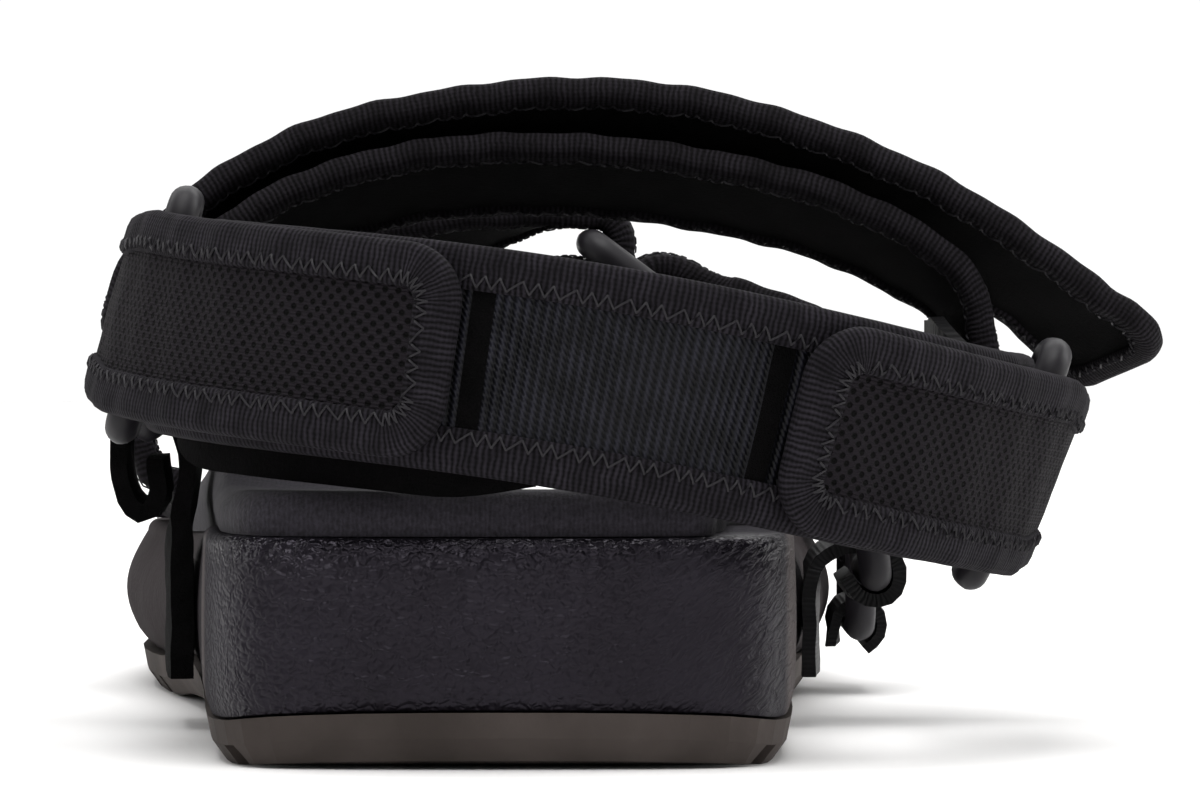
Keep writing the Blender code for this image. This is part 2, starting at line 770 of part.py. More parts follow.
def build_outer_anchor(mat):
    """Webbing up the outer side wall, bowed out round the lower bar of the instep ring and back."""
    y = back_to_y(INSTEP_BACK)
    bar = ring_bars(outer_ring_out(), OUTER_RING_HIGH, OUTER_RING_LEAN)[1]
    radius = RING_TUBE / 2 + CLEAR + WEB_THICK / 2
    wall = side_wall(y, 1, 0.016) + 0.0006 + WEB_THICK / 2
    along = wall_across(y, 1, WEB_WIDTH / 2)
    places = [(Vector((wall, y, high)), along) for high in (ANCHOR_LOW, 0.012, 0.0175)]
    places.append((Vector((wall + 0.0006, y, bar[1] + radius * 0.45)), ALONG))
    places.append((Vector((wall + 0.0030, y, bar[1] + radius * 0.98)), ALONG))
    places += wrap(bar, math.radians(96), math.radians(-128), radius, 7, ALONG, y)
    places.append((Vector((bar[0] - radius * 1.12, y, bar[1] - radius * 0.12)), ALONG))
    return strap_from(spread(places, 0.0034, (bar,)), "side_anchor_outer", mat, WEB_WIDTH, 0.0, 0.0,
                      WEB_THICK, None, (bar,))


def build_forefoot_anchor(mat):
    """Webbing from the outer side of the ball round the lower bar of the side ring."""
    y = back_to_y(FORE_BACK)
    bar = ring_bars(fore_ring_out(), FORE_RING_HIGH, 0.0)[1]
    radius = RING_TUBE / 2 + CLEAR + FORE_WEB_THICK / 2
    along = wall_across(y, 1, WEB_WIDTH / 2)
    places = [(Vector((bar[0] - radius, y, ANCHOR_LOW)), along)]
    places += wrap(bar, math.pi, 0.0, radius, 7, ALONG, y)
    places.append((Vector((bar[0] + radius * 0.86, y, ANCHOR_LOW + 0.0012)), ALONG))
    places.append((Vector((bar[0] + radius * 0.30, y, ANCHOR_LOW - 0.0006)), ALONG))
    return strap_from(spread(places, 0.0022, (bar,)), "forefoot_anchor_outer", mat, WEB_WIDTH * 0.9,
                      0.0, 0.0, FORE_WEB_THICK, None, (bar,))


def top_ring_bars():
    """Left and right bar of the ring on top of the forefoot."""
    half = (RING_GAP + RING_TUBE) / 2
    dx = half * math.cos(TOP_RING_FALL)
    dz = half * math.sin(TOP_RING_FALL)
    return (TOP_RING_ACROSS - dx, TOP_RING_HIGH + dz), (TOP_RING_ACROSS + dx, TOP_RING_HIGH - dz)


def build_forefoot_straps(mat):
    """Inner half from the sole's edge up to the top ring; outer half through it, tab folded back."""
    radius = fold_radius()
    y = back_to_y(FORE_BACK)
    left, right = top_ring_bars()
    side = (fore_ring_out(), FORE_RING_HIGH)
    foot = -(side_edge(y, -1) - SIDE_SLOT * 0.77)
    along = wall_across(y, -1, STRAP_WIDTH / 2)
    seat = max(deck(y - STRAP_WIDTH / 2), deck(y + STRAP_WIDTH / 2)) + CLEAR
    places = [(Vector((foot, y, seat + rise)), along) for rise in (0.0, 0.0025, 0.005)]
    places += over_foot(FORE_INNER, 16, FORE_SPAN, FORE_HEIGHT, FORE_BACK, FORE_SLOPE)
    places += wrap(left, math.radians(100), math.radians(-120), radius, 7, ALONG, y)
    places.append((Vector((left[0] - 0.009, y, left[1] - radius - 0.0003)), ALONG))
    strap_from(spread(places, bars=(left,)), "forefoot_strap_inner", mat, STRAP_WIDTH, 0.0, 0.0,
               step=0.0, bars=(left,))
    sewn = RING_TUBE / 2 + CLEAR + SEWN_THICK / 2
    places = [(Vector((side[0] - sewn, y, side[1] + 0.003)), ALONG)]
    places += wrap(side, math.radians(180), math.radians(360), sewn, 6, ALONG, y)
    places += over_foot(FORE_OUTER, 11, FORE_SPAN, FORE_HEIGHT, FORE_BACK, FORE_SLOPE)
    places += wrap(right, math.radians(-75), math.radians(-285), radius, 7, ALONG, y)
    places += over_foot(FORE_TAB, 11, FORE_SPAN, FORE_HEIGHT, FORE_BACK, FORE_SLOPE)
    bars = ((*side, SEWN_THICK), right)
    strap_from(spread(places, 0.0055, bars, 0.009), "forefoot_strap_outer", mat, STRAP_WIDTH, 0.0,
               TAB_CORNER, step=0.0, bars=bars)


def build_links(mat):
    """Short straps from the front bars of the heel rings to the inside of the instep strap."""
    pitch = RING_GAP + RING_TUBE
    radius = RING_TUBE / 2 + CLEAR + WEB_THICK / 2
    inner_x = fold_radius() + LINK_INSIDE - inner_ring_out()
    outer_x = 0.612 * INSTEP_SPAN - STRAP_THICK / 2 - CLEAR - WEB_THICK / 2 - LINK_SLACK
    rows = (("link_strap_inner", 0.0, -1, inner_x, 0.695 * INSTEP_HEIGHT, math.radians(20)),
            ("link_strap_outer", math.pi, 1, outer_x, 0.643 * INSTEP_HEIGHT, math.radians(-3)))
    for name, theta, sign, end_x, end_z, end_lean in rows:
        middle, across = heel_curve(theta)
        bar = middle + ALONG * pitch
        side = Vector((sign * across.z, 0.0, -sign * across.x))
        places = [(bar + side * radius * 1.05 + ALONG * 0.006, across)]
        for i in range(7):
            angle = math.pi * i / 6
            places.append((bar + (side * math.cos(angle) - ALONG * math.sin(angle)) * radius, across))
        end = tilt_vector(end_lean)
        places.append((Vector((end_x, back_to_y(INSTEP_BACK) - 0.018, end_z)), end))
        places.append((Vector((end_x, back_to_y(INSTEP_BACK) - 0.004, end_z)), end))
        places.append((Vector((end_x, back_to_y(INSTEP_BACK) + 0.006, end_z)), end))
        strap_from(spread(places, 0.0028), name, mat, LINK_WIDTH, 0.0, 0.0, WEB_THICK, None)


# Rings

def build_ring(name, centre, length_dir, gap_dir, mat):
    """Moulded loop: a round bar bent to a long rectangle with round corners."""
    length_dir = length_dir.normalized()
    gap_dir = (gap_dir - length_dir * gap_dir.dot(length_dir)).normalized()
    side = length_dir.cross(gap_dir)
    half_gap = (RING_GAP + RING_TUBE) / 2
    half_length = (RING_LENGTH - RING_TUBE) / 2
    path = []
    for quarter, (a, b) in enumerate(((1, 1), (-1, 1), (-1, -1), (1, -1))):
        for i in range(4):
            angle = math.pi / 2 * (quarter + i / 3)
            path.append((a * (half_gap - RING_CORNER) + RING_CORNER * math.cos(angle),
                         b * (half_length - RING_CORNER) + RING_CORNER * math.sin(angle)))
    bm = bmesh.new()
    rings = []
    count = len(path)
    for i, (a, b) in enumerate(path):
        ahead = path[(i + 1) % count]
        behind = path[i - 1]
        tangent = Vector((ahead[0] - behind[0], ahead[1] - behind[1])).normalized()
        out = gap_dir * tangent.y - length_dir * tangent.x
        place = centre + gap_dir * a + length_dir * b
        ring = []
        for k in range(8):
            angle = 2 * math.pi * k / 8
            offset = out * math.cos(angle) + side * math.sin(angle)
            ring.append(bm.verts.new(place + offset * RING_TUBE / 2))
        rings.append(ring)
    for i in range(count):
        wall_between(bm, rings[i], rings[(i + 1) % count])
    return finish(name, bm, mat, 60)


def build_rings(mat):
    """Two heel rings, two instep rings, and the forefoot's side and top rings."""
    half = (RING_GAP + RING_TUBE) / 2
    for name, theta in (("heel_ring_inner", 0.0), ("heel_ring_outer", math.pi)):
        middle, across = heel_curve(theta)
        build_ring(name, middle + ALONG * half, across, ALONG, mat)
    y = back_to_y(INSTEP_BACK)
    rows = (("instep_ring_inner", -inner_ring_out(), INNER_RING_HIGH, 0.0, y - 0.1 * STRAP_WIDTH),
            ("instep_ring_outer", outer_ring_out(), OUTER_RING_HIGH, OUTER_RING_LEAN, y),
            ("forefoot_ring_outer", fore_ring_out(), FORE_RING_HIGH, 0.0, back_to_y(FORE_BACK)))
    for name, out, high, lean, place in rows:
        upper, lower = ring_bars(out, high, lean)
        centre = Vector(((upper[0] + lower[0]) / 2, place, (upper[1] + lower[1]) / 2))
        build_ring(name, centre, ALONG, Vector((lower[0] - upper[0], 0.0, lower[1] - upper[1])), mat)
    fall = Vector((math.cos(TOP_RING_FALL), 0.0, -math.sin(TOP_RING_FALL)))
    centre = Vector((TOP_RING_ACROSS, back_to_y(FORE_BACK), TOP_RING_HIGH))
    build_ring("forefoot_ring_top", centre, ALONG, fall, mat)


def clear_scene():
    """Remove everything that is in the scene."""
    for obj in list(bpy.data.objects):
        bpy.data.objects.remove(obj, do_unlink=True)


def main():
    clear_scene()
    rubber = material("outsole_rubber", (0.07, 0.06, 0.058), 0.75)
    foam = material("midsole_foam", (0.024, 0.021, 0.026), 0.5)
    fabric = material("footbed_fabric", (0.026, 0.022, 0.024), 0.85)
    knit = material("strap_knit", (0.014, 0.013, 0.016), 0.8)
    plastic = material("ring_plastic", (0.035, 0.033, 0.038), 0.4)
    build_outsole(rubber)
    build_midsole(foam)
    build_footbed(fabric)
    build_heel_strap(knit)
    build_instep_strap(knit)
    build_inner_anchor(knit)
    build_outer_anchor(knit)
    build_forefoot_anchor(knit)
    build_forefoot_straps(knit)
    build_links(knit)
    build_rings(plastic)


main()
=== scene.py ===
"""Looks of a right-foot sport sandal: grained foam sole, knit bound padded straps, plastic loops.

Metres, +Z up; the toe points to +Y and the outer side is +X. The sizes match the frame's.
"""
import math
from bisect import bisect_right
from functools import partial

import bmesh
import bpy
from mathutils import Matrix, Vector


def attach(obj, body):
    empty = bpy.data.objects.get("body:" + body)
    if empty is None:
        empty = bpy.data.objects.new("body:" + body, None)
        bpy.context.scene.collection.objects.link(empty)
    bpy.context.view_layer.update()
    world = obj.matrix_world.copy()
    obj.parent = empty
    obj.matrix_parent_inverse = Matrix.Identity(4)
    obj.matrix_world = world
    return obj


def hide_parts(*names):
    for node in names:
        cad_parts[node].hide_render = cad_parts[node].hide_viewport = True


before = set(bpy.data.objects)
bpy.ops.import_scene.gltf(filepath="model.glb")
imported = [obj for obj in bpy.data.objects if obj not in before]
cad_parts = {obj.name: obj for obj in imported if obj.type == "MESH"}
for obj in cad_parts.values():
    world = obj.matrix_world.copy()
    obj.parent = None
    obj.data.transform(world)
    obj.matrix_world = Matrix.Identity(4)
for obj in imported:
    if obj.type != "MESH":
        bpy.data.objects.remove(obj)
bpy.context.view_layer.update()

# Sole
SOLE_LENGTH = 0.284
BALL_WIDTH = 0.1
REST_FROM_BACK = 0.03375
OUTSOLE_THICK = 0.0055
HEEL_HEIGHT = 0.0285
BALL_HEIGHT = 0.0238
TOE_HEIGHT = 0.0208
TOE_SPRING = 0.0085
WALL_BULGE = 0.0028
RIM_ROUND = 0.0016
FOOTBED_THICK = 0.0046
ARCH_RISE = 0.0062
FOOTBED_INSET = 0.0012
STRAP_SLOT = 0.0068
SIDE_SLOT = 0.0056
CLEAR = 0.0004

# Straps
STRAP_WIDTH = 0.0295
STRAP_THICK = 0.0034
TAB_WIDTH = 0.0265
FOLD_WIDTH = 0.0242
WEB_THICK = 0.0018
VELVET_THICK = 0.0022
SEWN_THICK = 0.0014
WEB_WIDTH = 0.024
LINK_WIDTH = 0.0155
BINDING = 0.0056
NARROW_BINDING = 0.0037
# How far the surface of each kind of strap waves
PADDED_RIPPLE = 0.00012
FORE_RIPPLE = 0.0001
WEB_RIPPLE = 0.00008
RING_TUBE = 0.0043
RING_LENGTH = 0.0345
RING_GAP = 0.008
RING_CORNER = 0.0027
LINK_INSIDE = 0.0078
LINK_SLACK = 0.0025

# Places
HEEL_RING_BACK = 0.054
HEEL_RING_SPAN = 0.1108
HEEL_STRAP_SHIFT = 0.0108
HEEL_STRAP_PROUD = 0.0045
HEEL_STRAP_WIDTH = 0.028
HEEL_STRAP_RISE = 0.0028
HEEL_STRAP_HIGH = 0.055
HEEL_STRAP_LOW = 0.0357
HEEL_TILT_INNER = math.radians(16)
HEEL_TILT_OUTER = math.radians(21)
INSTEP_BACK = 0.093
INSTEP_SPAN = 0.104
INSTEP_HEIGHT = 0.0715
INSTEP_SLOPE = math.radians(22)
LOWER_SLOPE = math.radians(16.5)
TAB_DROOP = math.radians(9)
TAB_CORNER = 0.0075
FORE_WEB_THICK = 0.0014
FORE_BACK = 0.166
FORE_SPAN = 0.1
FORE_HEIGHT = 0.061
FORE_SLOPE = math.radians(17)
ANCHOR_LOW = 0.0068
WALL_LEVEL = 0.016
FREE_END_HIGH = 0.3986 * INSTEP_HEIGHT
INNER_RING_HIGH = 0.73427 * INSTEP_HEIGHT
OUTER_RING_OFF = 0.0078
OUTER_RING_HIGH = 0.0325
OUTER_RING_LEAN = math.radians(8)
FORE_RING_OFF = 0.0004
FORE_RING_HIGH = 0.0222
TOP_RING_ACROSS = 0.018
TOP_RING_HIGH = 0.0598
TOP_RING_FALL = math.radians(37)

ALONG = Vector((0.0, 1.0, 0.0))
LOOP_POINTS = 372

# Mesh steps, seams and stitches
WELD = 1e-6
BORDER_STEP = 0.0009
CORE_STEP = 0.0014
CORE_SWELL = 0.0002
CORE_STEP_DOWN = 0.0006
CUT_END = 0.0004
STITCH_PITCH = 0.0021
THREAD_RADIUS = 0.00016
# Share of a stitch's length and height over the cloth
STITCH_ARCH = ((0.0, -0.00008), (0.25, 0.00014), (0.75, 0.00014), (1.0, -0.00008))

# Outline of the sole from above: across as a share of BALL_WIDTH, along of SOLE_LENGTH
OUTLINE = (
    (0.0, 0.0), (0.19, 0.003), (0.31, 0.016), (0.36, 0.052), (0.374, 0.11), (0.382, 0.2), (0.392, 0.32),
    (0.418, 0.44), (0.443, 0.56), (0.458, 0.66), (0.438, 0.77), (0.37, 0.875), (0.22, 0.962),
    (0.02, 0.999), (-0.18, 0.993), (-0.345, 0.945), (-0.455, 0.86), (-0.512, 0.755), (-0.522, 0.65),
    (-0.488, 0.55), (-0.44, 0.44), (-0.405, 0.33), (-0.388, 0.21), (-0.376, 0.11), (-0.36, 0.052),
    (-0.31, 0.016), (-0.19, 0.003),
)

# Straps over the foot: across as a share of the span, height as a share of the strap's height,
# along as a share of STRAP_WIDTH
INSTEP_LOWER = (
    (0.58, 0.485, 0.0), (0.612, 0.64, 0.0), (0.575, 0.805, 0.0), (0.43, 0.929, 0.0), (0.25, 0.996, 0.0),
    (0.08, 1.022, 0.0), (-0.09, 1.012, 0.0), (-0.24, 0.957, -0.04), (-0.345, 0.876, -0.1),
)
INSTEP_UPPER = (
    (-0.442, 0.843, -0.1), (-0.365, 0.931, -0.04), (-0.229, 1.033, 0.0), (-0.062, 1.088, 0.0),
    (0.094, 1.108, 0.0), (0.251, 1.088, 0.0), (0.391, 1.033, 0.0), (0.484, 0.98, 0.0),
    (0.561, 0.926, 0.0), (0.653, 0.843, 0.0), (0.735, 0.754, 0.03), (0.806, 0.66, 0.08),
)
FORE_INNER = (
    (-0.492, 0.5, 0.0), (-0.51, 0.64, 0.0), (-0.455, 0.82, 0.0), (-0.32, 0.95, 0.0), (-0.14, 1.025, 0.0),
)
FORE_OUTER = (
    (0.52, 0.48, 0.0), (0.52, 0.587, 0.0), (0.475, 0.682, 0.0), (0.395, 0.754, 0.0), (0.312, 0.811, 0.0),
)
# Free end of the inner anchor: inward and up from its lowest place, in strap thicknesses
LOOP_END = ((-0.1, 3.4), (0.0, 1.8), (0.65, 0.4), (1.5, 0.0), (2.1, 0.75), (2.05, 3.3))
FORE_TAB = (
    (0.31, 0.9, 0.0), (0.4, 0.836, 0.0), (0.49, 0.769, 0.0), (0.555, 0.661, 0.0), (0.59, 0.541, 0.0),
)


# Small helpers

def back_to_y(distance):
    """World Y of a place given by its distance from the back of the heel."""
    return distance - REST_FROM_BACK


def share_of(y):
    """Share of the sole's length at a world Y."""
    return (y + REST_FROM_BACK) / SOLE_LENGTH


def smooth(low, high, value):
    """Smooth step from 0 to 1 between low and high."""
    t = min(1.0, max(0.0, (value - low) / (high - low)))
    return t * t * (3.0 - 2.0 * t)


def curve_point(rows, t, closed=False):
    """Point of a Catmull-Rom curve through rows, t from 0 to 1."""
    count = len(rows)
    spans = count if closed else count - 1
    place = min(max(t, 0.0), 1.0) * spans
    index = min(int(place), spans - 1)
    f = place - index
    picks = []
    for offset in (-1, 0, 1, 2):
        i = index + offset
        i = i % count if closed else min(max(i, 0), count - 1)
        picks.append(rows[i])
    a, b, c, d = picks
    result = []
    for k in range(len(b)):
        result.append(0.5 * (2 * b[k] + (c[k] - a[k]) * f
                             + (2 * a[k] - 5 * b[k] + 4 * c[k] - d[k]) * f * f
                             + (3 * b[k] - a[k] - 3 * c[k] + d[k]) * f * f * f))
    return result


def linear(hex_colour):
    """Linear colour from an sRGB hex string."""
    values = []
    for i in (0, 2, 4):
        c = int(hex_colour[i:i + 2], 16) / 255
        values.append(c / 12.92 if c <= 0.04045 else ((c + 0.055) / 1.055) ** 2.4)
    return (*values, 1.0)


def new_object(name, data):
    """Object of some data, at the origin, in the scene."""
    made = bpy.data.objects.new(name, data)
    bpy.context.scene.collection.objects.link(made)
    return made


def make_piece(name, bm, mats, smooth_angle):
    """Turn a bmesh into a smooth object with its materials, riding on the root body."""
    mesh = bpy.data.meshes.new(name)
    bm.to_mesh(mesh)
    bm.free()
    mesh.shade_smooth()
    mesh.set_sharp_from_angle(angle=math.radians(smooth_angle))
    for mat in mats:
        mesh.materials.append(mat)
    made = new_object(name, mesh)
    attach(made, "root")
    return made


# Sole profile, as in the frame

def under(y):
    """Height of the outsole's underside."""
    t = share_of(y)
    spring = TOE_SPRING * max(0.0, (t - 0.74) / 0.26) ** 2
    bevel = 0.0018 * max(0.0, (0.05 - t) / 0.05) ** 2
    arch = 0.0016 * smooth(0.30, 0.40, t) * (1.0 - smooth(0.46, 0.56, t))
    return spring + bevel + arch


def deck(y):
    """Height of the midsole's top edge."""
    t = share_of(y)
    drop = smooth(0.10, 0.52, t)
    toe = smooth(0.62, 0.95, t)
    return HEEL_HEIGHT + (BALL_HEIGHT - HEEL_HEIGHT) * drop + (TOE_HEIGHT - BALL_HEIGHT) * toe


def outline_by(depth):
    """Closed loop of (x, y) inside the sole's edge by a depth worked out from each point."""
    points = []
    for i in range(LOOP_POINTS):
        across, along = curve_point(OUTLINE, i / LOOP_POINTS, closed=True)
        points.append(Vector((across * BALL_WIDTH, back_to_y(along * SOLE_LENGTH))))
    result = []
    for i, point in enumerate(points):
        tangent = (points[(i + 1) % LOOP_POINTS] - points[i - 1]).normalized()
        inward = Vector((-tangent.y, tangent.x))
        result.append(point + inward * depth(point))
    return result


def slotted(point):
    """Extra inset of the footbed where straps come up beside it."""
    t = share_of(point.y)
    if point.x > 0.0:
        outer = smooth(BALL_WIDTH * 0.24, BALL_WIDTH * 0.34, point.x)
        return STRAP_SLOT * outer * (1.0 - smooth(0.16, 0.30, t))
    middle = FORE_BACK / SOLE_LENGTH
    reach = (STRAP_WIDTH / 2 + 0.003) / SOLE_LENGTH
    return SIDE_SLOT * (1.0 - smooth(reach, reach * 1.9, abs(t - middle)))


EDGE = outline_by(lambda p: 0.0)
INSTEP_Y = back_to_y(INSTEP_BACK)
INNER_Y = INSTEP_Y - 0.1 * STRAP_WIDTH
FORE_Y = back_to_y(FORE_BACK)


def side_edge(y, sign):
    """Half width of the sole at a world Y, on one side."""
    side = sorted((p for p in EDGE if p.x * sign > 0.0), key=lambda p: abs(p.y - y))
    best = side[0]
    after = side[1]
    if abs(after.y - best.y) < 1e-6:
        return abs(best.x)
    f = (y - best.y) / (after.y - best.y)
    return abs(best.x + (after.x - best.x) * f)


def midsole_base(y):
    """Height of the midsole's underside."""
    return under(y) + OUTSOLE_THICK + CLEAR


def bulge(share, y):
    """How far the foam's wall stands out at a share of its height."""
    weight = smooth(0.20, 0.48, share_of(y))
    amount = WALL_BULGE * (math.sin(math.pi * share) - 0.35)
    return amount * weight + 0.0003 * math.sin(math.pi * share) - 0.0004


def side_wall(y, sign, high):
    """Distance of the foam's wall from the middle line at a height."""
    share = (high - midsole_base(y)) / (deck(y) - RIM_ROUND - midsole_base(y))
    return side_edge(y, sign) + max(bulge(min(1.0, max(0.0, share)), y), 0.0)


def footbed_top(x, y):
    """Height of the footbed's upper face: heel cup, raised inner arch, toe roll."""
    t = share_of(y)
    side = abs(x) / (BALL_WIDTH * 0.42)
    thick = FOOTBED_THICK * (1.0 - 0.35 * smooth(0.45, 0.75, t))
    cup = 0.0016 * smooth(0.3, 1.0, side) * (1.0 - smooth(0.30, 0.55, t)) - 0.0008
    cup = max(cup, 0.0010 * (1.0 - smooth(0.03, 0.14, t)))
    along = smooth(0.17, 0.27, t) * (1.0 - smooth(0.33, 0.56, t))
    inner = smooth(-0.004, BALL_WIDTH * 0.36, -x)
    return deck(y) + thick + cup + ARCH_RISE * along * inner


# Mesh building

def skin(bm, rows, uvs=None, slot_of=None):
    """Lay a grid over rows of points, with a place in the UV map for each and a slot by row and column."""
    columns = len(rows[0])
    made = bmesh.ops.create_grid(bm, x_segments=columns - 1, y_segments=len(rows) - 1, size=1.0)["verts"]
    order = {}
    for i, vert in enumerate(made):
        order[vert] = i
        vert.co = rows[i // columns][i % columns]
    layer = bm.loops.layers.uv.new("UVMap") if uvs else None
    for face in {face for vert in order for face in vert.link_faces}:
        if slot_of:
            face.material_index = slot_of(*divmod(min(order[vert] for vert in face.verts), columns))
        if uvs:
            for loop in face.loops:
                row, column = divmod(order[loop.vert], columns)
                loop[layer].uv = uvs[row][column]


def close_up(bm):
    """Weld the seams, fill the open ends and turn every face outward."""
    bmesh.ops.remove_doubles(bm, verts=bm.verts, dist=WELD)
    bmesh.ops.holes_fill(bm, edges=[edge for edge in bm.edges if edge.is_boundary], sides=0)
    bmesh.ops.recalc_face_normals(bm, faces=bm.faces)


def round_row(place, first, second, reach, sides):
    """Points once round a place, in the plane of two directions; reach depends on the point's number."""
    row = []
    for k in range(sides + 1):
        angle = 2 * math.pi * k / sides
        row.append(place + (first * math.cos(angle) + second * math.sin(angle)) * reach(k))
    return row


# Node helpers for materials

def add_node(tree, kind, settings, links=None):
    """Add a shader node, set its properties and sockets, and join its inputs to earlier nodes."""
    made = tree.nodes.new("ShaderNode" + kind)
    for key, value in settings.items():
        if isinstance(key, str) and hasattr(made, key):
            setattr(made, key, value)
        else:
            made.inputs[key].default_value = value
    for key, source in (links or {}).items():
        tree.links.new(source.outputs[0] if hasattr(source, "outputs") else source, made.inputs[key])
    return made


def new_material(name):
    """Empty material, and the function that adds nodes to it."""
    made = bpy.data.materials.new(name)
    made.use_nodes = True
    made.node_tree.nodes.clear()
    return made, partial(add_node, made.node_tree)


def surface(made, settings, links, tones=None):
    """Give a material its shader; tones are a dark and a light colour, and what leads from low to high."""
    if tones:
        dark, light, source, low, high = tones
        share = add_node(made.node_tree, "MapRange", {"From Min": low, "From Max": high}, {"Value": source})
        mixed = add_node(made.node_tree, "Mix", {"data_type": "RGBA", 6: linear(dark), 7: linear(light)},
                         {0: share})
        links = {"Base Color": mixed.outputs[2], **links}
    shader = add_node(made.node_tree, "BsdfPrincipled", settings, links)
    add_node(made.node_tree, "OutputMaterial", {}, {"Surface": shader})
    return made


def tilt_vector(angle):
    """Width direction of a strap that stands up and leans by an angle."""
    return Vector((math.sin(angle), 0.0, math.cos(angle)))


def slope_vector(angle):
    """Width direction of a strap over the foot: its front edge is lower."""
    return Vector((0.0, math.cos(angle), -math.sin(angle)))


def fold_radius():
    """Radius of a strap's middle where it turns round a ring's bar."""
    return RING_TUBE / 2 + CLEAR + STRAP_THICK / 2


def heel_curve(theta):
    """Middle of the heel strap between its rings, and its width direction."""
    half = HEEL_RING_SPAN / 2
    x = HEEL_STRAP_SHIFT - half * math.cos(theta)
    bow = max(0.0, math.sin(theta)) ** 0.86
    y = back_to_y(HEEL_RING_BACK - (HEEL_RING_BACK + HEEL_STRAP_PROUD) * bow)
    across = (1.0 - math.cos(theta)) / 2
    z = HEEL_STRAP_HIGH + (HEEL_STRAP_LOW - HEEL_STRAP_HIGH) * across
    z += HEEL_STRAP_RISE * max(0.0, math.sin(theta)) ** 3
    lean = HEEL_TILT_INNER + (HEEL_TILT_OUTER - HEEL_TILT_INNER) * smooth(0.35, 1.0, across)
    return Vector((x, y, z)), tilt_vector(lean)


def heel_place(theta, outer):
    """Point and width direction on the inner or outer layer of the heel strap."""
    point, across = heel_curve(theta)
    ahead, _ = heel_curve(min(theta + 0.01, math.pi))
    behind, _ = heel_curve(max(theta - 0.01, 0.0))
    outward = (ahead - behind).normalized().cross(across).normalized()
    centre = Vector((HEEL_STRAP_SHIFT, back_to_y(HEEL_RING_BACK), point.z))
    if outward.dot(point - centre) < 0:
        outward = -outward
    near = 1.0 - smooth(0.0, 0.55, min(theta, math.pi - theta))
    close = STRAP_THICK / 2 + CLEAR
    amount = close + (fold_radius() - close) * near
    return point + outward * (amount if outer else -amount), across, outward


def turn(centre, across, start, steps):
    """Half circle round a bar towards the toe, from centre + start to centre - start."""
    places = []
    for i in range(1, steps):
        angle = math.pi * i / steps
        spot = centre + (start * math.cos(angle) + ALONG * math.sin(angle)) * fold_radius()
        places.append((spot, across))
    return places


def heel_strap_places():
    """Outer tab, fold, base, fold and inner tab of the heel strap; also where each part ends."""
    tab_inner = 1.28
    tab_outer = math.pi - 1.12
    places = []
    for i in range(25):
        places.append(heel_place(tab_outer + (math.pi - tab_outer) * i / 24, True)[:2])
    places += turn(*heel_curve(math.pi), heel_place(math.pi, True)[2], 10)
    first = len(places)
    for i in range(61):
        places.append(heel_place(math.pi * (1.0 - i / 60), False)[:2])
    last = len(places) - 1
    places += turn(*heel_curve(0.0), -heel_place(0.0, True)[2], 10)
    for i in range(27):
        places.append(heel_place(tab_inner * i / 26, True)[:2])
    return places, first, last


def over_foot(rows, count, span, height, back, slope, full=0.85, droop=0.0):
    """Places over the foot from a table of shares."""
    result = []
    for i in range(count):
        across, high, along = curve_point(rows, i / (count - 1))
        point = Vector((across * span, back_to_y(back) + along * STRAP_WIDTH, high * height))
        lean = slope * smooth(0.35, full, high) + droop * (1.0 - smooth(0.66, 0.80, high))
        result.append((point, slope_vector(lean)))
    return result


def flat_place(x, y, z):
    """Place of a strap that lies across the foot there."""
    return Vector((x, y, z)), ALONG


def wrap(bar, start_angle, end_angle, radius, steps, y):
    """Arc round a bar that runs along the foot; angles in degrees from +X, up is positive."""
    places = []
    for i in range(steps + 1):
        angle = math.radians(start_angle + (end_angle - start_angle) * i / steps)
        places.append(flat_place(bar[0] + radius * math.cos(angle), y, bar[1] + radius * math.sin(angle)))
    return places


def ring_bars(out, high, lean):
    """Upper and lower bar of a side ring, from the place of its upper bar."""
    pitch = RING_GAP + RING_TUBE
    return (out, high), (out + pitch * math.sin(lean), high - pitch * math.cos(lean))


def inner_ring_out():
    """Distance of the inner instep ring from the middle line: outside its anchor strap."""
    return side_wall(INNER_Y, -1, WALL_LEVEL) + 0.0007 + VELVET_THICK + RING_TUBE / 2 + CLEAR


def outer_ring_out():
    """Distance of the outer instep ring's upper bar from the middle line."""
    return side_wall(INSTEP_Y, 1, WALL_LEVEL) + OUTER_RING_OFF


def fore_ring_out():
    """Distance of the forefoot's side ring from the middle line."""
    room = SEWN_THICK + CLEAR + RING_TUBE / 2
    return side_wall(FORE_Y, 1, WALL_LEVEL) + FORE_RING_OFF + room


def wall_across(y, sign, reach):
    """Direction along the sole's side wall at a world Y."""
    ahead = Vector((sign * side_edge(y + reach, sign), y + reach, 0.0))
    behind = Vector((sign * side_edge(y - reach, sign), y - reach, 0.0))
    return (ahead - behind).normalized()


def dense_curve(places):
    """Smooth curve of (point, across) through places, about four steps a millimetre."""
    points = [point for point, _ in places]
    spans = [max((b - a).length, 1e-6) for a, b in zip(points, points[1:])]
    rates = [(b - a) / span for a, b, span in zip(points, points[1:], spans)]
    slopes = [rates[0]]
    for before, after, first, second in zip(rates, rates[1:], spans, spans[1:]):
        slopes.append((before * second + after * first) / (first + second))
    slopes.append(rates[-1])
    rows = []
    for i, span in enumerate(spans):
        steps = max(2, round(span / 0.00025))
        for k in range(steps):
            f = k / steps
            blend = f * f * (3 - 2 * f)
            point = (points[i] * (1 - blend) + slopes[i] * span * (f ** 3 - 2 * f ** 2 + f)
                     + points[i + 1] * blend + slopes[i + 1] * span * (f ** 3 - f ** 2))
            rows.append((point, places[i][1].lerp(places[i + 1][1], blend)))
    rows.append(places[-1])
    return rows


# Straps as cloth

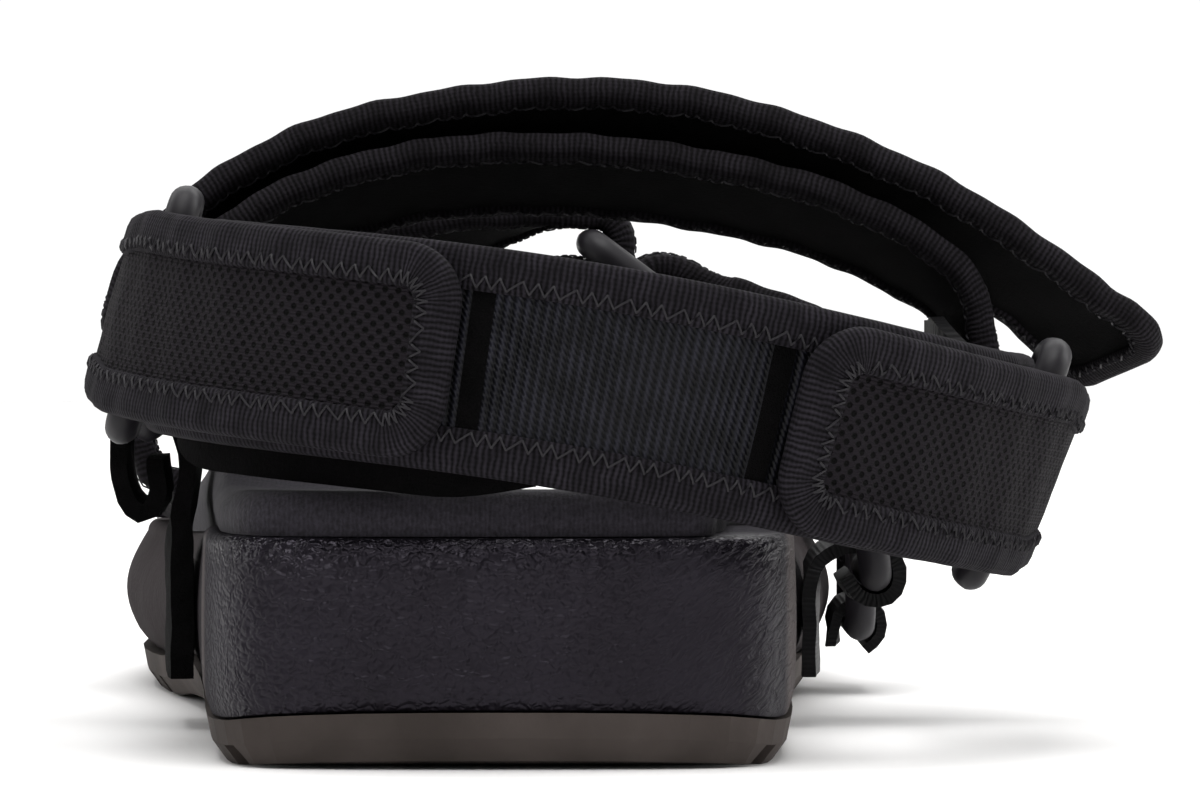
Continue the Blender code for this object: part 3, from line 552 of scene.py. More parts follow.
class Band:
    """A strap's middle surface: a place for each length along it and distance across it.

    Its width is a number or a function of the length. A bar that it turns round is a point, or a
    place across and up with the strap's thickness there where it is sewn thin.
    """

    def __init__(self, places, width, thick, bars=(), ripple=0.0):
        self.runs = []
        self.rows = []
        run = 0.0
        dense = dense_curve(places)
        for i, (point, across) in enumerate(dense):
            tangent = (dense[min(i + 2, len(dense) - 1)][0] - dense[max(i - 2, 0)][0]).normalized()
            across = (across - tangent * across.dot(tangent)).normalized()
            if i:
                run += (point - dense[i - 1][0]).length
            full = width(run) if callable(width) else width
            narrow = min(full, FOLD_WIDTH)
            wide = full
            deep = thick
            for bar in bars:
                if isinstance(bar, Vector):
                    away = smooth(0.006, 0.018, (point - bar).length)
                else:
                    away = smooth(0.007, 0.018, math.hypot(point.x - bar[0], point.z - bar[1]))
                    sewn = bar[2] if len(bar) == 3 else thick
                    deep = min(deep, sewn + (thick - sewn) * away)
                wide = min(wide, narrow + (full - narrow) * away)
            self.runs.append(run)
            self.rows.append((point, across, across.cross(tangent).normalized(), wide, deep))
        self.length = run
        self.ripple = ripple

    def at(self, s):
        """Row at a length, blended from the two beside it."""
        s = min(max(s, 0.0), self.length)
        high = min(max(bisect_right(self.runs, s), 1), len(self.runs) - 1)
        low = high - 1
        f = (s - self.runs[low]) / max(self.runs[high] - self.runs[low], 1e-9)
        return [a + (b - a) * f for a, b in zip(self.rows[low], self.rows[high])]

    def spot(self, s, v, h):
        """World point at a length, a distance across and a height over the middle surface."""
        point, across, facing, _, _ = self.at(s)
        wobble = self.ripple * (math.sin(s * 610 + v * 240) + 0.6 * math.sin(s * 1130 - v * 410 + 1.7))
        return point + across.normalized() * v + facing.normalized() * (h + wobble)

    def half(self, s):
        """Half width at a length."""
        return self.at(s)[3] / 2

    def deep(self, s):
        """Half thickness at a length."""
        return self.at(s)[4] / 2


def band_border(band, corner, start_round):
    """Border of a band as rows of (s, v, inward s, inward v), once round its rounded ends."""
    end = band.length
    low = corner if start_round else 0.0
    count = int((end - corner - low) / BORDER_STEP)
    arc = max(8, int(corner * 1.6 / BORDER_STEP))
    straight = max(2, int(2 * (band.half(end) - corner) / BORDER_STEP))

    def quarter(half):
        """Rounded corner from the side to the end: distance from the end and distance across."""
        turns = [math.pi / 2 * i / arc for i in range(1, arc + 1)]
        return [(corner * (1.0 - math.sin(a)), half - corner * (1.0 - math.cos(a))) for a in turns]

    def edge(half):
        """Distances across the straight part of an end."""
        return [(half - corner) * (1.0 - 2 * i / straight) for i in range(1, straight)]

    side = [low + (end - corner - low) * i / count for i in range(count + 1)]
    upper = [(s, band.half(s)) for s in side] + [(end - s, v) for s, v in quarter(band.half(end))]
    flat = upper + [(end, v) for v in edge(band.half(end))] + [(s, -v) for s, v in reversed(upper)]
    if start_round:
        corners = quarter(band.half(0.0))
        flat += [(s, -v) for s, v in corners] + [(0.0, -v) for v in edge(band.half(0.0))] + corners[::-1]
    rows = []
    for i, (s, v) in enumerate(flat):
        before = flat[i - 1] if start_round else flat[max(i - 1, 0)]
        after = flat[(i + 1) % len(flat)] if start_round else flat[min(i + 1, len(flat) - 1)]
        ds = after[0] - before[0]
        dv = after[1] - before[1]
        size = math.hypot(ds, dv) or 1.0
        rows.append((s, v, dv / size, -ds / size))
    return rows


def binding_piece(name, band, border, closed, mat, width):
    """Rolled knit edge: a C-shaped band round a strap's border, its ribs along v in the UV map."""
    upper = ((1.0, 0.70), (0.97, 0.93), (0.86, 1.02), (0.62, 1.05), (0.36, 1.04), (0.16, 0.92),
             (0.04, 0.62), (0.0, 0.22))
    shape = upper + tuple((d, -h) for d, h in reversed(upper))
    sides = [0.0]
    for a, b in zip(shape, shape[1:]):
        sides.append(sides[-1] + 1000 * math.hypot((b[0] - a[0]) * width, (b[1] - a[1]) * STRAP_THICK / 2))
    sides.append(sides[-1] + 1.0)
    rows = []
    runs = [0.0]
    for s, v, in_s, in_v in border:
        deep = band.deep(s)
        rows.append([band.spot(s + in_s * d * width, v + in_v * d * width, h * deep)
                     for d, h in (*shape, shape[0])])
        if len(rows) > 1:
            runs.append(runs[-1] + 1000 * (rows[-1][7] - rows[-2][7]).length)
    if closed:
        rows.append(rows[0])
        runs.append(runs[-1] + 1000 * BORDER_STEP)
    bm = bmesh.new()
    skin(bm, rows, [[(run, side) for side in sides] for run in runs])
    close_up(bm)
    return make_piece(name, bm, [mat], 80)


def core_piece(name, band, start, end, mats, inset=0.0, step=0.0, slot_of=None, columns=8, ends=0.0):
    """Middle of a strap between its bindings, with UV in millimetres."""
    count = max(6, int((end - start) / CORE_STEP))
    rows = []
    uvs = []
    for i in range(count + 1):
        s = start + (end - start) * i / count
        half = band.half(s) - inset
        near = min(s - start, end - s)
        if ends and near < ends:
            half *= math.sqrt(max(0.06, 1.0 - (1.0 - near / ends) ** 2))
        deep = band.deep(s) - step
        row = []
        for face in (1, -1):
            for k in range(columns + 1):
                share = face * (2 * k / columns - 1.0)
                row.append((half * share, face * (deep + CORE_SWELL * (1.0 - share ** 2))))
        row.append(row[0])
        rows.append([band.spot(s, v, h) for v, h in row])
        uvs.append([(s * 1000, v * 1000) for v, h in row])

    def slot_at(row, column):
        """Slot of a face, by the length at its middle and by the side of the strap."""
        return slot_of(start + (end - start) * (row + 0.5) / count, column < columns) if slot_of else 0

    bm = bmesh.new()
    skin(bm, rows, uvs, slot_at)
    close_up(bm)
    return make_piece(name, bm, mats, 60)


def thread(points):
    """Rows of points round a thin tube through points."""
    rows = []
    for before, point, after in zip([points[0], *points], points, [*points[1:], points[-1]]):
        tangent = (after - before).normalized()
        first = tangent.orthogonal().normalized()
        rows.append(round_row(point, first, tangent.cross(first), lambda k: THREAD_RADIUS, 4))
    return rows


def stitch_rows(name, band, border, rim):
    """Zigzag stitches over the inner edge of the binding, on both faces of a strap."""
    rows = []
    total = int(((len(border) - 2) * BORDER_STEP - CUT_END) / (STITCH_PITCH / 2))
    for face in (1, -1):
        for i in range(total):
            ends = []
            for k in (0, 1):
                place = CUT_END + (i + k * 0.92) * STITCH_PITCH / 2
                s, v, in_s, in_v = border[min(len(border) - 1, max(0, int(place / BORDER_STEP)))]
                depth = rim * (0.66 if (i + k) % 2 else 0.93)
                ends.append(Vector((s + in_s * depth, v + in_v * depth, band.deep(s) * 1.05)))
            points = []
            for f, lift in STITCH_ARCH:
                s, v, _ = ends[0].lerp(ends[1], f)
                points.append(band.spot(s, v, face * (ends[0].z + lift)))
            rows += thread(points)
    # All stitches are one grid at first; the faces from one stitch to the next are taken out
    bm = bmesh.new()
    between = len(STITCH_ARCH) - 1
    skin(bm, rows, slot_of=lambda row, column: int(row % len(STITCH_ARCH) == between))
    bmesh.ops.delete(bm, geom=[face for face in bm.faces if face.material_index], context="FACES")
    close_up(bm)
    return make_piece(name, bm, [THREAD], 80)


# Materials

def leatherette():
    """Embossed leatherette on EVA foam: worm grain, drawn out at the outer heel, glossy upper edge."""
    made, add = new_material("embossed_leatherette")
    place = {"Vector": add("TexCoord", {}).outputs["Object"]}
    axes = add("SeparateXYZ", {}, {0: place["Vector"]})
    parts = {}
    for part, axis, low, high, first, last in (
            # The grain turns into drawn creases towards the outer corner
            ("outer", "X", 0.008, 0.036, 0.0, 1.0),
            # The embossing fades on the smooth side walls ahead of the heel
            ("rear", "Y", 0.02, 0.08, 1.0, 0.2),
            ("rim", "Z", HEEL_HEIGHT - 0.0044, HEEL_HEIGHT - 0.002, 1.0, 1.15),
            # Browner towards the ball
            ("tone_mask", "Y", 0.0, 0.07, 0.0, 1.0),
            # Painted highlight where the cover turns round both rear corners: 1 to 2 mm wide from behind,
            # fading out 30 to 45 mm along the side walls
            ("outer_highlight_strip", "X", 0.0352, 0.0359, 0.0, 1.0),
            ("inner_highlight_strip", "X", -0.0366, -0.0372, 0.0, 1.0), ("behind", "Y", 0.012, -0.004, 0.0, 1.0),
            # Polished upper edge, dull side walls
            ("edge", "Z", HEEL_HEIGHT - 0.0042, HEEL_HEIGHT - 0.0016, 0.45, 0.25),
            ("dull", "Y", -0.027, -0.012, 0.0, 0.5)):
        parts[part] = add("MapRange", {"From Min": low, "From Max": high, "To Min": first, "To Max": last},
                          {"Value": axes.outputs[axis]})
    # Grain cells 1.0 mm wide and 0.7 mm high, bent by a noise of 1.6 mm into short worms
    bend = add("TexNoise", {"Scale": 620.0, "Detail": 1.0}, place)
    flat = add("Mapping", {"Scale": (1000.0, 1000.0, 1400.0)}, place)
    worm = add("VectorMath", {"operation": "MULTIPLY_ADD", 1: (2.6, 2.6, 2.6)},
               {0: bend.outputs["Color"], 2: flat})
    cells = add("TexVoronoi", {"feature": "SMOOTH_F1", "Scale": 1.0, "Smoothness": 0.35}, {"Vector": worm})
    # Creases drawn out to 3 mm by 0.7 mm where the cover is stretched round the outer corner
    turned = add("Mapping", {"Rotation": (0.0, math.radians(40), 0.0)}, place)
    long = add("Mapping", {"Scale": (330.0, 330.0, 1150.0)}, {"Vector": turned})
    drawn = add("TexNoise", {"Scale": 1.0, "Detail": 3.0, "Distortion": 1.1}, {"Vector": long})
    crest = add("MapRange", {"From Min": 0.36, "From Max": 0.64, "To Min": 0.9, "To Max": 0.1},
                {"Value": drawn})
    grain = add("Mix", {}, {0: parts["outer"], 2: cells, 3: crest})
    raised = add("Math", {"operation": "MULTIPLY"}, {0: grain, 1: parts["rim"]})
    depth = add("Math", {"operation": "MULTIPLY"}, {0: raised, 1: parts["rear"]})
    # Dents a centimetre wide in the foam under the cover
    dents = add("TexNoise", {"Scale": 95.0, "Detail": 2.0}, place)
    low = add("Bump", {"Distance": 0.0007, "Strength": 0.35}, {"Height": dents})
    # The cover rolls inwards over the last 4 mm below the upper edge and catches the light there
    roll = add("MapRange", {"interpolation_type": "SMOOTHSTEP", "From Min": HEEL_HEIGHT - 0.0052,
                            "From Max": HEEL_HEIGHT - 0.0008}, {"Value": axes.outputs["Z"]})
    rolled = add("Bump", {"Distance": 0.0008, "Strength": 1.0, "invert": True},
                 {"Height": roll, "Normal": low})
    normal = add("Bump", {"Distance": 0.0004, "Strength": 0.9, "invert": True},
                 {"Height": depth, "Normal": rolled})
    # Greyish violet cover, browner towards the ball, with a painted highlight in pale strips at the rear
    # corners
    patches = add("MapRange", {"From Min": 0.35, "From Max": 0.65}, {"Value": dents})
    both = add("Math", {"operation": "MAXIMUM"}, {0: parts["outer_highlight_strip"], 1: parts["inner_highlight_strip"]})
    painted_corner_highlight = add("Math", {"operation": "MULTIPLY"}, {0: both, 1: parts["behind"]})
    tone = add("Mix", {"data_type": "RGBA", 6: linear("0e0c10"), 7: linear("161419")}, {0: patches})
    for colour, share in (("1d1714", parts["tone_mask"]), ("4d4745", painted_corner_highlight)):
        tone = add("Mix", {"data_type": "RGBA", 7: linear(colour)}, {0: share, 6: tone.outputs[2]})
    rough = add("Math", {"operation": "ADD", "use_clamp": True}, {0: parts["edge"], 1: parts["dull"]})
    return surface(made, {"Specular IOR Level": 0.3, "IOR": 1.46, "Specular Tint": linear("e6dcf0")},
                   {"Base Color": tone.outputs[2], "Roughness": rough, "Normal": normal})


def moulded_rubber():
    """Pale grey rubber sole moulded against a blasted steel mould: dull, finely pitted, dusty."""
    made, add = new_material("moulded_rubber")
    place = {"Vector": add("TexCoord", {}).outputs["Object"]}
    pits = add("TexNoise", {"Scale": 900.0, "Detail": 3.0}, place)
    dust = add("TexNoise", {"Scale": 70.0, "Detail": 4.0}, place)
    normal = add("Bump", {"Distance": 0.00012, "Strength": 0.5}, {"Height": pits})
    return surface(made, {"Roughness": 0.85, "Specular IOR Level": 0.2, "IOR": 1.52}, {"Normal": normal},
                   ("38322f", "49423f", dust, 0.35, 0.65))


def brushed_jersey():
    """Brushed jersey over the cushion: knit rows 0.75 mm apart, softened by a nap."""
    made, add = new_material("brushed_jersey")
    place = {"Vector": add("TexCoord", {}).outputs["Object"]}
    rows = add("TexWave", {"bands_direction": "X", "Scale": 0.314 / 0.0006, "Distortion": 5.0,
                           "Detail": 2.0, "Detail Scale": 1.6}, place)
    nap = add("TexNoise", {"Scale": 1500.0, "Detail": 4.0, "Roughness": 0.7}, place)
    height = add("Math", {"operation": "MULTIPLY_ADD", 1: 0.14}, {0: rows, 2: nap})
    creases = add("TexNoise", {"Scale": 210.0, "Detail": 3.0}, place)
    low = add("Bump", {"Distance": 0.0005, "Strength": 0.5}, {"Height": creases})
    normal = add("Bump", {"Distance": 0.00018, "Strength": 0.9}, {"Height": height, "Normal": low})
    # Painted light and shade: the colour is lighter on the raised knit rows and nap and darker between them
    return surface(made, {"Roughness": 0.9, "Specular IOR Level": 0.2, "Sheen Weight": 0.06},
                   {"Normal": normal}, ("141216", "2e2b32", height, 0.35, 0.8))


def rib_tape(name, dark, light):
    """Polyester rib tape folded over the strap edges: ribs 0.74 mm apart, loops 0.6 mm, a dull nap."""
    made, add = new_material(name)
    coord = add("TexCoord", {}).outputs
    place = {"Vector": coord["Object"]}
    uv = {"Vector": coord["UV"]}
    rib = add("TexWave", {"bands_direction": "X", "Scale": 0.314 / 0.74, "Distortion": 3.2,
                          "Detail": 3.0, "Detail Scale": 1.1}, uv)
    loop = add("TexWave", {"bands_direction": "Y", "Scale": 0.314 / 0.6, "Distortion": 1.8,
                           "Detail": 1.0, "Detail Scale": 1.5}, uv)
    height = add("Math", {"operation": "MULTIPLY_ADD", 1: 0.22}, {0: loop, 2: rib})
    fuzz = add("TexNoise", {"Scale": 3000.0, "Detail": 2.0}, place)
    low = add("Bump", {"Distance": 0.0001, "Strength": 0.8}, {"Height": height})
    normal = add("Bump", {"Distance": 0.00014, "Strength": 0.7}, {"Height": fuzz, "Normal": low})
    # Painted highlight: the colour is lighter on the rib and loop crests, in patches where this noise is high
    tone_mask = add("TexNoise", {"Scale": 320.0, "Detail": 3.0}, place)
    lit = add("Math", {"operation": "MULTIPLY"}, {0: height, 1: tone_mask})
    return surface(made, {"Roughness": 0.85, "Specular IOR Level": 0.1}, {"Normal": normal},
                   (dark, light, lit, 0.05, 0.8))


def nylon_webbing(name, dark, light, pitch, depth):
    """Woven nylon webbing: ribs across the strap, a slanted weave of 0.55 mm on them, silky crests with a
    painted highlight.
    """
    made, add = new_material(name)
    coord = add("TexCoord", {}).outputs
    place = {"Vector": coord["Object"]}
    uv = {"Vector": coord["UV"]}
    rib = add("TexWave", {"bands_direction": "X", "Scale": 0.314 / pitch, "Distortion": 0.5,
                          "Detail": 1.0, "Detail Scale": 0.3}, uv)
    slant = add("Mapping", {"Rotation": (0.0, 0.0, math.radians(42))}, uv)
    weave = add("TexWave", {"bands_direction": "X", "Scale": 0.314 / 0.55, "Distortion": 1.0},
                {"Vector": slant})
    height = add("Math", {"operation": "MULTIPLY_ADD", 1: 0.4}, {0: weave, 2: rib})
    normal = add("Bump", {"Distance": depth, "Strength": 0.9}, {"Height": height})
    # Painted highlight: the crests of the ribs and weave are painted lighter, in patches where this noise is
    # high
    tone_mask = add("TexNoise", {"Scale": 260.0, "Detail": 4.0}, place)
    lit = add("Math", {"operation": "MULTIPLY"}, {0: height, 1: tone_mask})
    return surface(made, {"Roughness": 0.5, "Specular IOR Level": 0.14, "IOR": 1.53}, {"Normal": normal},
                   (dark, light, lit, 0.15, 0.8))


def spacer_mesh():
    """Polyester spacer mesh: round holes 1.25 mm apart in staggered rows, with painted shade in the holes."""
    made, add = new_material("spacer_mesh")
    uv = {"Vector": add("TexCoord", {}).outputs["UV"]}
    waves = []
    for angle in (45, -45):
        turned = add("Mapping", {"Rotation": (0.0, 0.0, math.radians(angle))}, uv)
        waves.append(add("TexWave", {"bands_direction": "X", "Scale": 0.314 / 1.25, "Distortion": 0.6,
                                     "Detail Scale": 0.5}, {"Vector": turned}))
    holes = add("Math", {"operation": "MULTIPLY"}, {0: waves[0], 1: waves[1]})
    # Painted shade: the holes are painted near black and the strands lighter
    strand = add("MapRange", {"From Min": 0.2, "From Max": 0.55, "To Min": 1.0, "To Max": 0.0},
                 {"Value": holes})
    yarn = add("TexWave", {"bands_direction": "Y", "Scale": 0.314 / 0.42, "Distortion": 2.0}, uv)
    height = add("Math", {"operation": "MULTIPLY_ADD", 1: 0.25}, {0: yarn, 2: strand})
    normal = add("Bump", {"Distance": 0.00045, "Strength": 0.95}, {"Height": height})
    return surface(made, {"Roughness": 0.8, "Specular IOR Level": 0.08}, {"Normal": normal},
                   ("020202", "1c191d", strand, 0.0, 1.0))


def loop_pile(name, dark, light):
    """Brushed nylon loop pile, the soft half of a hook and loop closure: black, dull, lint-flecked."""
    made, add = new_material(name)
    place = {"Vector": add("TexCoord", {}).outputs["Object"]}
    pile = add("TexNoise", {"Scale": 2100.0, "Detail": 3.0, "Roughness": 0.7}, place)
    normal = add("Bump", {"Distance": 0.0004, "Strength": 0.9}, {"Height": pile})
    brushed = add("TexNoise", {"Scale": 240.0, "Detail": 4.0}, place)
    return surface(made, {"Roughness": 1.0, "Specular IOR Level": 0.08}, {"Normal": normal},
                   (dark, light, brushed, 0.35, 0.7))


def moulded_acetal():
    """Injection moulded acetal of the strap rings: satin charcoal, fine wear marks, soft highlights."""
    made, add = new_material("moulded_acetal")
    place = {"Vector": add("TexCoord", {}).outputs["Object"]}
    wear = add("TexNoise", {"Scale": 420.0, "Detail": 5.0}, place)
    rough = add("MapRange", {"From Min": 0.3, "From Max": 0.7, "To Min": 0.4, "To Max": 0.58},
                {"Value": wear})
    normal = add("Bump", {"Distance": 0.00008, "Strength": 0.4}, {"Height": wear})
    return surface(made, {"Base Color": linear("1c1a1e"), "Specular IOR Level": 0.28, "IOR": 1.48},
                   {"Roughness": rough, "Normal": normal})


def polyester_thread():
    """Twisted polyester sewing thread: dark grey with a slight shine."""
    made, _ = new_material("polyester_thread")
    return surface(made, {"Base Color": linear("1f1d21"), "Roughness": 0.6, "Specular IOR Level": 0.3}, {})


FOAM = leatherette()
BASE = moulded_rubber()
FOOTBED = brushed_jersey()
KNIT = rib_tape("rib_tape", "080709", "2b282e")
KNIT_TAB = rib_tape("rib_tape_strap", "080708", "262328")
WEBBING = nylon_webbing("nylon_webbing", "030305", "23232b", 1.2, 0.0003)
WEBBING_FINE = nylon_webbing("nylon_webbing_fine", "060607", "100f11", 0.62, 0.00006)
MESH = spacer_mesh()
VELVET = loop_pile("brushed_lining", "030303", "070607")
VELVET_LOOP = loop_pile("brushed_loop", "040404", "0d0c0d")
LOOP = moulded_acetal()
THREAD = polyester_thread()


# Sole pieces

def sole_solid(name, levels, mat, columns=12):
    """Closed solid through loops given as (loop, height) from the base up."""
    bm = bmesh.new()
    skin(bm, [[(p.x, p.y, height(p.x, p.y)) for p in (*loop, loop[0])] for loop, height in levels])
    # Underside and top: rows from the outer to the inner side
    for loop, height in (levels[0], levels[-1]):
        rows = []
        for i in range(len(loop) // 2 + 1):
            row = [loop[i].lerp(loop[-i], k / columns) for k in range(columns + 1)]
            rows.append([(p.x, p.y, height(p.x, p.y)) for p in row])
        skin(bm, rows)
    close_up(bm)
    return make_piece(name, bm, [mat], 60)


def build_midsole():
    """Foam wall that bulges at the ball, with a rounded top edge."""
    def at(share):
        return lambda x, y: midsole_base(y) + (deck(y) - RIM_ROUND - midsole_base(y)) * share

    levels = []
    for i in range(15):
        share = i / 14
        tuck = 0.0007 * (1.0 - smooth(0.0, 0.12, share))
        levels.append((outline_by(lambda p: tuck - bulge(share, p.y)), at(share)))
    for i in range(1, 8):
        angle = math.pi / 2 * i / 7
        inward = RIM_ROUND * (1.0 - math.cos(angle))
        down = RIM_ROUND * (1.0 - math.sin(angle))
        loop = outline_by(lambda p: inward - bulge(1.0, p.y))
        levels.append((loop, lambda x, y, down=down: deck(y) - down))
    piece = sole_solid("midsole_cover", levels, FOAM)
    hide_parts("midsole")


def build_footbed():
    """Soft pad with a full rounded edge."""
    levels = []
    for i in range(11):
        angle = math.pi / 2 * i / 10
        share = math.sin(angle) ** 0.9
        inset = 0.0003 + 0.0030 * (1.0 - math.cos(angle)) + 0.0007 * (1.0 - smooth(0.0, 0.4, angle))
        loop = outline_by(lambda p: FOOTBED_INSET + inset + slotted(p))

        def lift(x, y, share=share):
            low = deck(y) + 0.0001
            return low + (footbed_top(x, y) - low) * share
        levels.append((loop, lift))
    piece = sole_solid("footbed_cover", levels, FOOTBED, 26)
    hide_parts("footbed")


# Loops

def loop_piece(name, node, centre, length_dir, gap_dir):
    """Moulded loop with round corners and a fine parting line."""
    length_dir = length_dir.normalized()
    gap_dir = (gap_dir - length_dir * gap_dir.dot(length_dir)).normalized()
    half_gap = (RING_GAP + RING_TUBE) / 2 - RING_CORNER
    half_length = (RING_LENGTH - RING_TUBE) / 2 - RING_CORNER
    path = []
    for quarter, (a, b) in enumerate(((1, 1), (-1, 1), (-1, -1), (1, -1))):
        for i in range(9):
            angle = math.pi / 2 * (quarter + i / 8)
            path.append(Vector((a * half_gap + RING_CORNER * math.cos(angle),
                                b * half_length + RING_CORNER * math.sin(angle))))
    rows = []
    for behind, here, ahead in zip([path[-1], *path], path, [*path[1:], path[0]]):
        tangent = (ahead - behind).normalized()
        out = gap_dir * tangent.y - length_dir * tangent.x
        # The parting line stands out on the outside and the inside of the tube
        rows.append(round_row(centre + gap_dir * here.x + length_dir * here.y, out,
                              length_dir.cross(gap_dir),
                              lambda k: RING_TUBE / 2 * (1.025 if k % 10 == 0 else 1.0), 20))
    bm = bmesh.new()
    skin(bm, [*rows, rows[0]])
    close_up(bm)
    piece = make_piece(name, bm, [LOOP], 60)
    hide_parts(node)


def build_loops():
    """Two heel loops, two instep loops, and the forefoot's side and top loops."""
    half = (RING_GAP + RING_TUBE) / 2
    for side, theta in (("inner", 0.0), ("outer", math.pi)):
        middle, across = heel_curve(theta)
        loop_piece("heel_loop_" + side, "heel_ring_" + side, middle + ALONG * half, across, ALONG)
    rows = (("instep_loop_inner", "instep_ring_inner", -inner_ring_out(), INNER_RING_HIGH, 0.0, INNER_Y),
            ("instep_loop_outer", "instep_ring_outer", outer_ring_out(), OUTER_RING_HIGH,
             OUTER_RING_LEAN, INSTEP_Y),
            ("forefoot_loop_outer", "forefoot_ring_outer", fore_ring_out(), FORE_RING_HIGH, 0.0, FORE_Y))
    for name, node, out, high, lean, place in rows:
        upper, lower = ring_bars(out, high, lean)
        centre = Vector(((upper[0] + lower[0]) / 2, place, (upper[1] + lower[1]) / 2))
        gap = Vector((lower[0] - upper[0], 0.0, lower[1] - upper[1]))
        loop_piece(name, node, centre, ALONG, gap)
    fall = Vector((math.cos(TOP_RING_FALL), 0.0, -math.sin(TOP_RING_FALL)))
    centre = Vector((TOP_RING_ACROSS, FORE_Y, TOP_RING_HIGH))
    loop_piece("forefoot_loop_top", "forefoot_ring_top", centre, ALONG, fall)


# Straps

def run_to(places, index):
    """Length along places up to an index."""
    return sum((b[0] - a[0]).length for a, b in zip(places[:index], places[1:index + 1]))


def soft_strap(name, node, band, start_round, mats, slot_of, knit, corner=TAB_CORNER, ends=0.005,
               rim=NARROW_BINDING):
    """Padded strap: recessed core, rolled knit edge all round and stitches on both faces."""
    border = band_border(band, corner, start_round)
    inset = rim * 0.64
    start = inset if start_round else CUT_END
    core = core_piece(name, band, start, band.length - inset, mats, inset, CORE_STEP_DOWN, slot_of, ends=ends)
    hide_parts(node)
    edge = binding_piece(name + "_edge", band, border, start_round, knit, rim)
    sewing = stitch_rows(name + "_stitches", band, border, rim)


def lined_after(turned):
    """Slots of a strap with mesh outside and pile inside that is turned back at a length."""
    return lambda s, upper: int(upper == (s >= turned))


def build_heel_strap():
    """Heel strap whose ends pass the loops and fold back outward as rounded tabs."""
    places, first, last = heel_strap_places()
    start = run_to(places, first)
    end = run_to(places, last)
    patches = (run_to(places, first + 22), run_to(places, first + 35))

    def width(run):
        part = smooth(start - 0.004, start + 0.004, run) * (1.0 - smooth(end - 0.004, end + 0.004, run))
        return TAB_WIDTH + (HEEL_STRAP_WIDTH - TAB_WIDTH) * part

    def slot_of(s, upper):
        if not start < s < end:
            return 2 if upper else 1
        # Dark closure strips show beside the ends of both tabs
        beside = min(abs(s - patch) for patch in patches)
        return 2 if not upper or beside < 0.0017 else 0

    band = Band(places, width, STRAP_THICK, (heel_curve(0.0)[0], heel_curve(math.pi)[0]), PADDED_RIPPLE)
    soft_strap("heel_strap_soft", "heel_strap", band, True, [WEBBING, MESH, VELVET], slot_of, KNIT,
               rim=BINDING)


def build_heel_lining():
    """Dark lining that hangs a little below the heel strap on the inner side."""
    places = []
    for i in range(25):
        theta = 0.30 + 1.20 * i / 24
        point, across, outward = heel_place(theta, False)
        drop = 0.0032 * smooth(0.30, 0.55, theta) * (1.0 - smooth(1.22, 1.50, theta))
        places.append((point - outward * (STRAP_THICK / 2 + 0.0012) - across * drop, across))
    band = Band(places, HEEL_STRAP_WIDTH, 0.0016)
    lining = core_piece("heel_strap_lining", band, CUT_END, band.length - CUT_END, [VELVET],
                        step=CORE_STEP_DOWN, ends=0.004)


def build_instep_strap():
    """Strap sewn round the outer instep loop, over the foot, round the inner loop and back over."""
    outer = (outer_ring_out(), OUTER_RING_HIGH)
    inner = (-inner_ring_out(), INNER_RING_HIGH)
    size = (INSTEP_SPAN, INSTEP_HEIGHT, INSTEP_BACK)
    places = wrap(outer, 150, 350, fold_radius(), 6, INSTEP_Y)
    places += over_foot(INSTEP_LOWER, 30, *size, LOWER_SLOPE)
    turn_at = len(places) + 3
    places += wrap(inner, 10, -190, fold_radius(), 6, INNER_Y)
    places += over_foot(INSTEP_UPPER, 30, *size, INSTEP_SLOPE, 0.6, TAB_DROOP)
    band = Band(places, STRAP_WIDTH, STRAP_THICK, (outer, inner), PADDED_RIPPLE)
    soft_strap("instep_strap_soft", "instep_strap", band, False, [MESH, VELVET],
               lined_after(run_to(places, turn_at)), KNIT_TAB)


def build_forefoot_straps():
    """Inner half from the sole's edge to the top loop; outer half through it with its tab."""
    radius = fold_radius()
    y = FORE_Y
    size = (FORE_SPAN, FORE_HEIGHT, FORE_BACK)
    half = (RING_GAP + RING_TUBE) / 2
    dx = half * math.cos(TOP_RING_FALL)
    dz = half * math.sin(TOP_RING_FALL)
    left = (TOP_RING_ACROSS - dx, TOP_RING_HIGH + dz)
    right = (TOP_RING_ACROSS + dx, TOP_RING_HIGH - dz)
    side = (fore_ring_out(), FORE_RING_HIGH)
    foot = -(side_edge(y, -1) - SIDE_SLOT * 0.77)
    along = wall_across(y, -1, STRAP_WIDTH / 2)
    seat = max(deck(y - STRAP_WIDTH / 2), deck(y + STRAP_WIDTH / 2)) + CLEAR
    places = [(Vector((foot, y, seat + rise)), along) for rise in (0.0, 0.0025, 0.005)]
    places += over_foot(FORE_INNER, 16, *size, FORE_SLOPE)
    places += wrap(left, 100, -120, radius, 7, y)
    places.append(flat_place(left[0] - 0.009, y, left[1] - radius - 0.0003))
    band = Band(places, STRAP_WIDTH, STRAP_THICK, (left,), FORE_RIPPLE)
    soft_strap("forefoot_strap_inner_soft", "forefoot_strap_inner", band, False, [MESH, VELVET],
               lambda s, upper: int(upper), KNIT_TAB, 0.004, 0.0)
    sewn = RING_TUBE / 2 + CLEAR + SEWN_THICK / 2
    places = [flat_place(side[0] - sewn, y, side[1] + 0.003)]
    places += wrap(side, 180, 360, sewn, 6, y)
    places += over_foot(FORE_OUTER, 11, *size, FORE_SLOPE)
    turn_at = len(places) + 3
    places += wrap(right, -75, -285, radius, 7, y)
    places += over_foot(FORE_TAB, 11, *size, FORE_SLOPE)
    band = Band(places, STRAP_WIDTH, STRAP_THICK, ((*side, SEWN_THICK), right), FORE_RIPPLE)
    soft_strap("forefoot_strap_outer_soft", "forefoot_strap_outer", band, False, [MESH, VELVET],
               lined_after(run_to(places, turn_at)), KNIT_TAB)


# Anchors and links

def plain_strap(name, node, places, width, thick, bars, mat, columns=10):
    """Thin webbing or velvet strap with its own cut ends."""
    band = Band(places, width, thick, bars, WEB_RIPPLE)
    piece = core_piece(name, band, 0.0, band.length, [mat], columns=columns)
    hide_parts(node)


